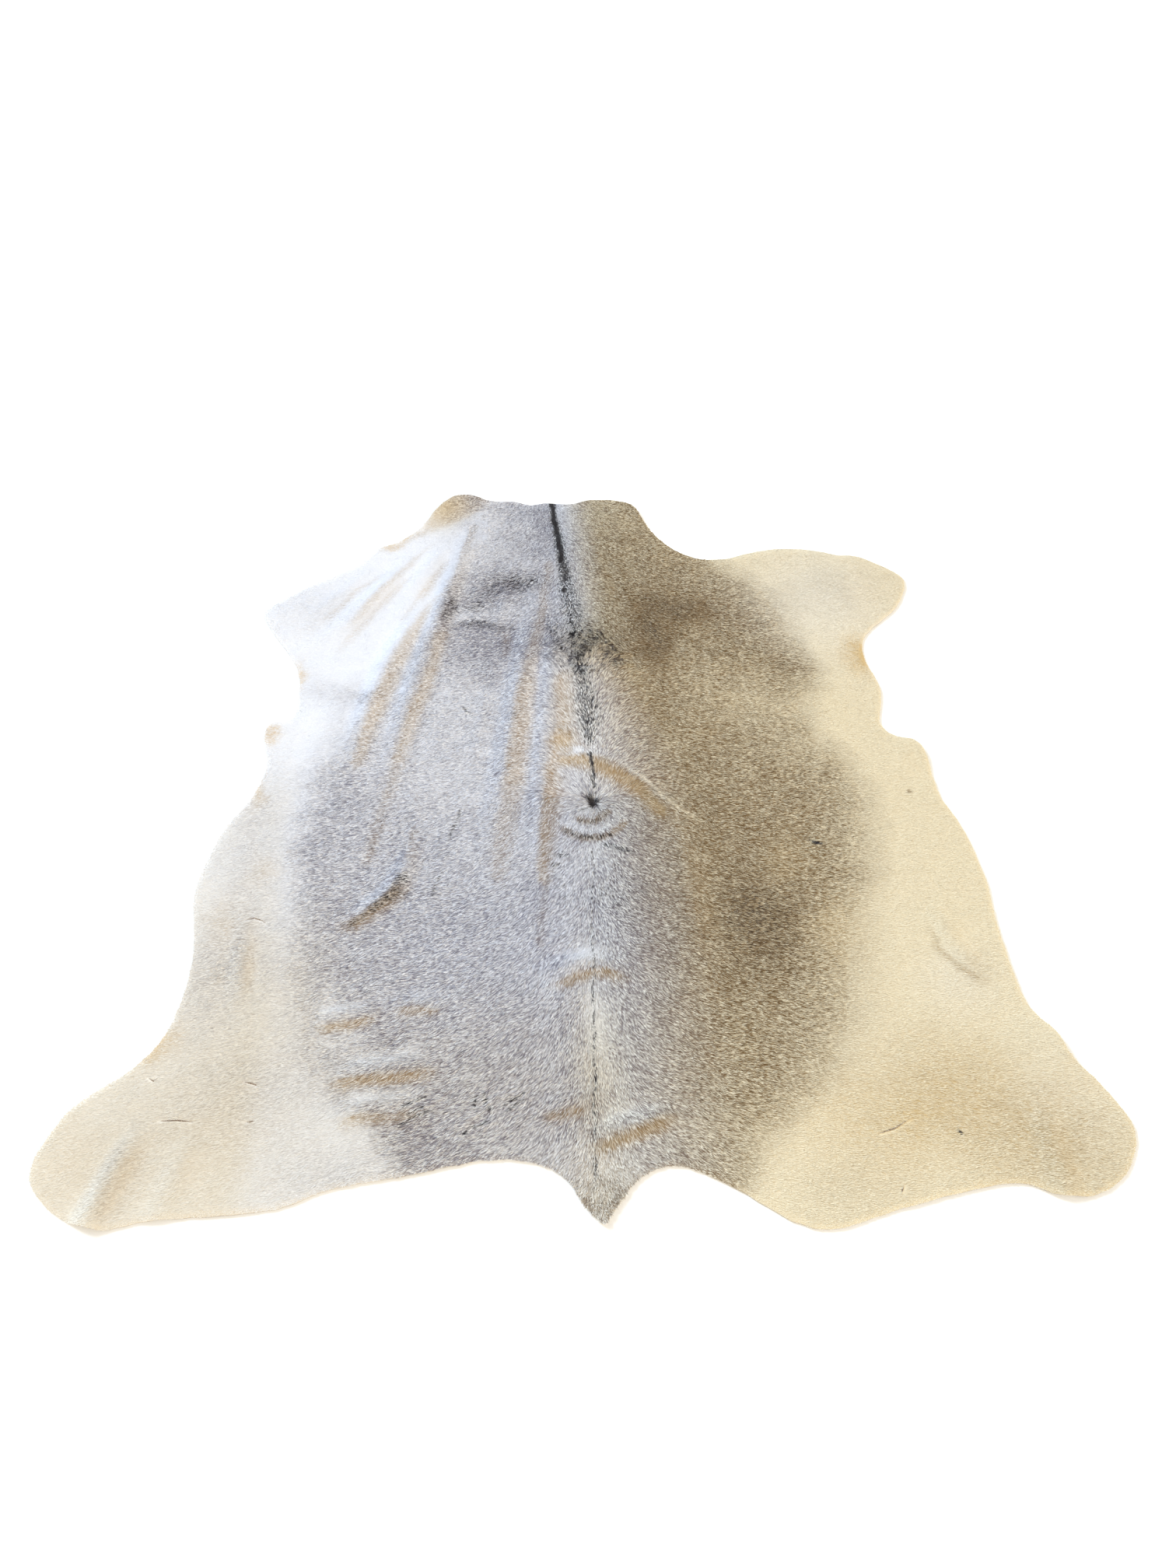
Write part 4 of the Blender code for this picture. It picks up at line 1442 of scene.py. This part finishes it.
@dataclass
class Coat:
    """The hair: single tapered blades, laid on the leather in bands from neck to rump."""

    lie: Lie
    markings: Markings
    flow: HairFlow
    bands: tuple[str, ...] = ("coat_neck", "coat_shoulders", "coat_ribs", "coat_loin", "coat_rump")
    hairs: int = 885_000
    length: float = 0.0098
    width: float = 0.0020
    tilt: float = 13.0
    roll: float = 0.40
    edge_trim: float = 0.018
    seed: int = 7

    def _roots(self, rng: np.random.Generator) -> Array:
        """Evenly scattered places for the hairs' roots, none of them on a scar."""
        low, high = self.lie.edge.min(0), self.lie.edge.max(0)
        step = (self.lie.area() / self.hairs) ** 0.5
        columns, rows = np.arange(low[0], high[0], step), np.arange(low[1], high[1], step)
        roots = np.stack(np.meshgrid(columns, rows), -1).reshape(-1, 2)
        roots = roots + rng.uniform(-0.5, 0.5, roots.shape) * step
        roots = roots[self.lie.within.read(roots) > 0]
        for scar in SCARS:
            roots = roots[soft_line(scar.points, roots, (scar.width, scar.width), 2) < 0.5]
        return roots

    def _roughness(self, roots: Array) -> Array:
        """How rough and upright the hair is at each root, from 0 to 1."""
        crest = 0.9 * np.exp(-(((roots - CREST - (0.012, 0.020)) / (0.052, 0.085)) ** 2).sum(1))
        whorl = np.exp(-(((roots - WHORL) / (0.030, 0.040)) ** 2).sum(1))
        tail = ease((-0.90 - roots[:, 1]) / 0.10) * np.exp(-((roots[:, 0] / 0.10) ** 2))
        return np.clip(crest + 0.8 * whorl + 0.7 * tail, 0, 1)

    def build(self, material: bpy.types.Material) -> list[bpy.types.Object]:
        """All the hairs, one piece for each band.

        Args:
            material: The hairs' material.

        Returns:
            The bands' pieces.
        """
        rng = np.random.default_rng(self.seed)
        roots = self._roots(rng)
        roots = roots[np.argsort(-roots[:, 1] + rng.uniform(-0.02, 0.02, len(roots)))]
        return [
            self._band(name, part, material, rng)
            for name, part in zip(self.bands, np.array_split(roots, len(self.bands)))
        ]

    def _band(
        self, name: str, roots: Array, material: bpy.types.Material, rng: np.random.Generator
    ) -> bpy.types.Object:
        """One band of hairs as one mesh.

        Args:
            name: The band's name.
            roots: Its hairs' x, y roots.
            material: The hairs' material.
            rng: Where each hair's own shape comes from.

        Returns:
            The band's piece.
        """
        count = len(roots)
        rough = self._roughness(roots)
        marks = self.markings.read(roots)
        sleek = 0.62 + 0.38 * np.clip(2 * marks[:, 0], 0, 1)
        trim = 0.45 + 0.55 * ease(self.lie.within.read(roots) / self.edge_trim)
        rise = self.lie.slope(roots)
        up = np.column_stack([-rise, np.ones(count)])
        up /= np.linalg.norm(up, axis=1, keepdims=True)
        course = turned(self.flow.direction(roots), (7 + 22 * rough) * rng.normal(0, 1, count))
        locks = self.flow.locks(roots, 0.0017, 0.0055, 51)
        tufts = self.flow.locks(roots, 0.0036, 0.0130, 53)
        ahead = np.column_stack([course, (course * rise).sum(1)])
        ahead /= np.linalg.norm(ahead, axis=1, keepdims=True)
        aside = np.cross(up, ahead)
        length = self.length * (sleek * trim + 0.6 * rough) * rng.uniform(0.75, 1.2, count)
        width = self.width * rng.uniform(0.7, 1.25, count)
        tilt = self.tilt * (1 + 0.18 * locks - 0.4 * self.flow.turned_forward(roots)) + 20 * rough
        tilt += rng.normal(0, 3 + 6 * rough)
        tilt = np.radians(np.maximum(tilt, 5))
        roll = self.roll * (0.35 + 0.65 * (sleek > 0.8)) * rng.normal(0, 1, count)
        root = np.column_stack([roots, self.lie.height(roots)])
        half = (aside * np.cos(roll)[:, None] + up * np.sin(roll)[:, None]) * width[:, None] / 2
        tip = root + (ahead * np.cos(tilt)[:, None] + up * np.sin(tilt)[:, None]) * length[:, None]
        places = np.stack([root + half, root - half, tip], 1).reshape(-1, 3)
        mesh = mesh_of(name, places, np.arange(3 * count).reshape(-1, 3))
        colour = mesh.attributes.new(MARKS, "FLOAT_COLOR", "POINT")
        colour.data.foreach_set("color", np.repeat(marks, 3, axis=0).astype(np.float32).ravel())
        own = (0.84 - 0.40 * rough) * rng.uniform(-1, 1, count) + 0.46 * locks + 1.5 * rough * tufts
        # Each hair is darker at its root, as painted shade where the hairs shade one another, and paler at its tip
        shade = np.repeat(own, 3) + np.tile([-0.30, -0.30, 0.35], count)
        mesh.attributes.new(SHADE, "FLOAT", "POINT").data.foreach_set("value", shade.astype(np.float32))
        low, high = self.lie.edge.min(0), self.lie.edge.max(0)
        plan = (places[:, :2] - low) / (high - low).max()
        mesh.uv_layers.new(name="OFBake").data.foreach_set("uv", plan.astype(np.float32).ravel())
        LOG.info("%s: %d hairs", name, count)
        return piece_of(mesh, [material])


@dataclass
class Scars:
    """Healed cuts: thin bare ridges where no hair grows."""

    lie: Lie
    rise: float = 0.0012
    stations: int = 14
    profile: tuple[tuple[float, float], ...] = ((-1, 0), (-0.5, 0.8), (0, 1), (0.5, 0.8), (1, 0))

    def build(self) -> bpy.types.Object:
        """All the scars as one piece.

        Returns:
            The scars' piece.
        """
        places, triangles = [], []
        for scar in SCARS:
            places.append(self._ridge(scar))
        wide = len(self.profile)
        for number in range(len(SCARS)):
            first = number * self.stations * wide
            for i in range(self.stations - 1):
                for j in range(wide - 1):
                    corner = first + i * wide + j
                    triangles.append((corner, corner + 1, corner + wide + 1))
                    triangles.append((corner, corner + wide + 1, corner + wide))
        mesh = mesh_of("scars", np.vstack(places), np.array(triangles))
        mesh.shade_smooth()
        return piece_of(mesh, [ScarFinish().material()])

    def _ridge(self, scar: Scar) -> Array:
        """One scar's points, in rows across it."""
        line = np.array(scar.points)
        distance = np.append(0, np.cumsum(np.linalg.norm(np.diff(line, axis=0), axis=1)))
        stops = np.linspace(0, distance[-1], self.stations)
        middle = np.column_stack([np.interp(stops, distance, line[:, axis]) for axis in (0, 1)])
        run = np.gradient(middle, axis=0)
        left = np.column_stack([-run[:, 1], run[:, 0]]) / np.linalg.norm(run, axis=1)[:, None]
        taper = np.sin(np.linspace(0.12, pi - 0.12, self.stations))
        rows = []
        for point, side, size in zip(middle, left, taper):
            for across, high in self.profile:
                place = point + side * across * scar.width / 2 * size
                rows.append((*place, self.lie.height(place[None])[0] + high * self.rise * size))
        return np.array(rows)


@dataclass(frozen=True)
class Lamp:
    """A far, soft light: its colour and strength, how high it stands, where from, and how soft it is."""

    name: str
    colour: Colour
    strength: float
    rise: float
    turn: float
    softness: float

    def build(self) -> None:
        """The light, in degrees above the floor and turned from the neck's side towards the left."""
        light = bpy.data.lights.new(self.name, "SUN")
        light.color = self.colour
        light.energy = self.strength
        light.angle = radians(self.softness)
        lamp = bpy.data.objects.new(self.name, light)
        lamp.rotation_euler = (radians(self.rise - 90), 0, radians(self.turn))
        bpy.context.scene.collection.objects.link(lamp)


@dataclass(frozen=True)
class Studio:
    """Soft room light, with cool light from past the left shoulder and warm light from the right thigh."""

    room: Colour = (1.0, 0.98, 0.95)
    room_strength: float = 0.68
    window: Lamp = Lamp("window", (0.76, 0.89, 1.0), 4.3, 24.0, 45.0, 24.0)
    lamp: Lamp = Lamp("lamp", (1.0, 0.86, 0.62), 2.6, 27.0, 225.0, 28.0)
    floor_size: float = 60.0
    floor_gap: float = 0.0004

    def build(self) -> None:
        """The lights and the floor."""
        world = bpy.data.worlds.new("room")
        bpy.context.scene.world = world
        world.use_nodes = True
        room = world.node_tree.nodes["Background"]
        room.inputs["Color"].default_value = (*self.room, 1)
        room.inputs["Strength"].default_value = self.room_strength
        self.window.build()
        self.lamp.build()
        half = self.floor_size / 2
        corners = [(x, y, -self.floor_gap) for x, y in ((-half, -half), (half, -half), (half, half), (-half, half))]
        mesh = mesh_of("floor", np.array(corners), np.array([(0, 1, 2), (0, 2, 3)]))
        mesh.materials.append(FloorFinish().material())
        floor = bpy.data.objects.new("floor", mesh)
        bpy.context.scene.collection.objects.link(floor)


@dataclass(frozen=True)
class Viewpoint:
    """Where the photograph was taken from: a phone held high behind the tail."""

    place: tuple[float, float, float] = (-0.054, -1.713, 2.0)
    down: float = 50.0
    right: float = 3.65
    lens: float = 26.0
    sensor: float = 36.0

    def build(self) -> None:
        """The camera."""
        camera = bpy.data.objects.new("camera", bpy.data.cameras.new("camera"))
        camera.data.lens = self.lens
        camera.data.sensor_fit = "VERTICAL"
        camera.data.sensor_height = self.sensor
        camera.location = self.place
        camera.rotation_euler = (radians(90 - self.down), 0, radians(-self.right))
        bpy.context.scene.collection.objects.link(camera)
        bpy.context.scene.camera = camera


def main() -> None:
    """Builds the rug in order, then its light and camera."""
    logging.basicConfig(level=logging.INFO, format="%(message)s")
    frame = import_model()
    lie = Lie(frame["nodes"][NODE])
    markings = Markings(lie)
    sheet = Leather(lie, markings).build()
    coat = Coat(lie, markings, HairFlow()).build(HairFinish().material())
    scars = Scars(lie).build()
    Studio().build()
    Viewpoint().build()
    bpy.context.scene.view_settings.view_transform = "Standard"


if __name__ == "__main__":
    main()
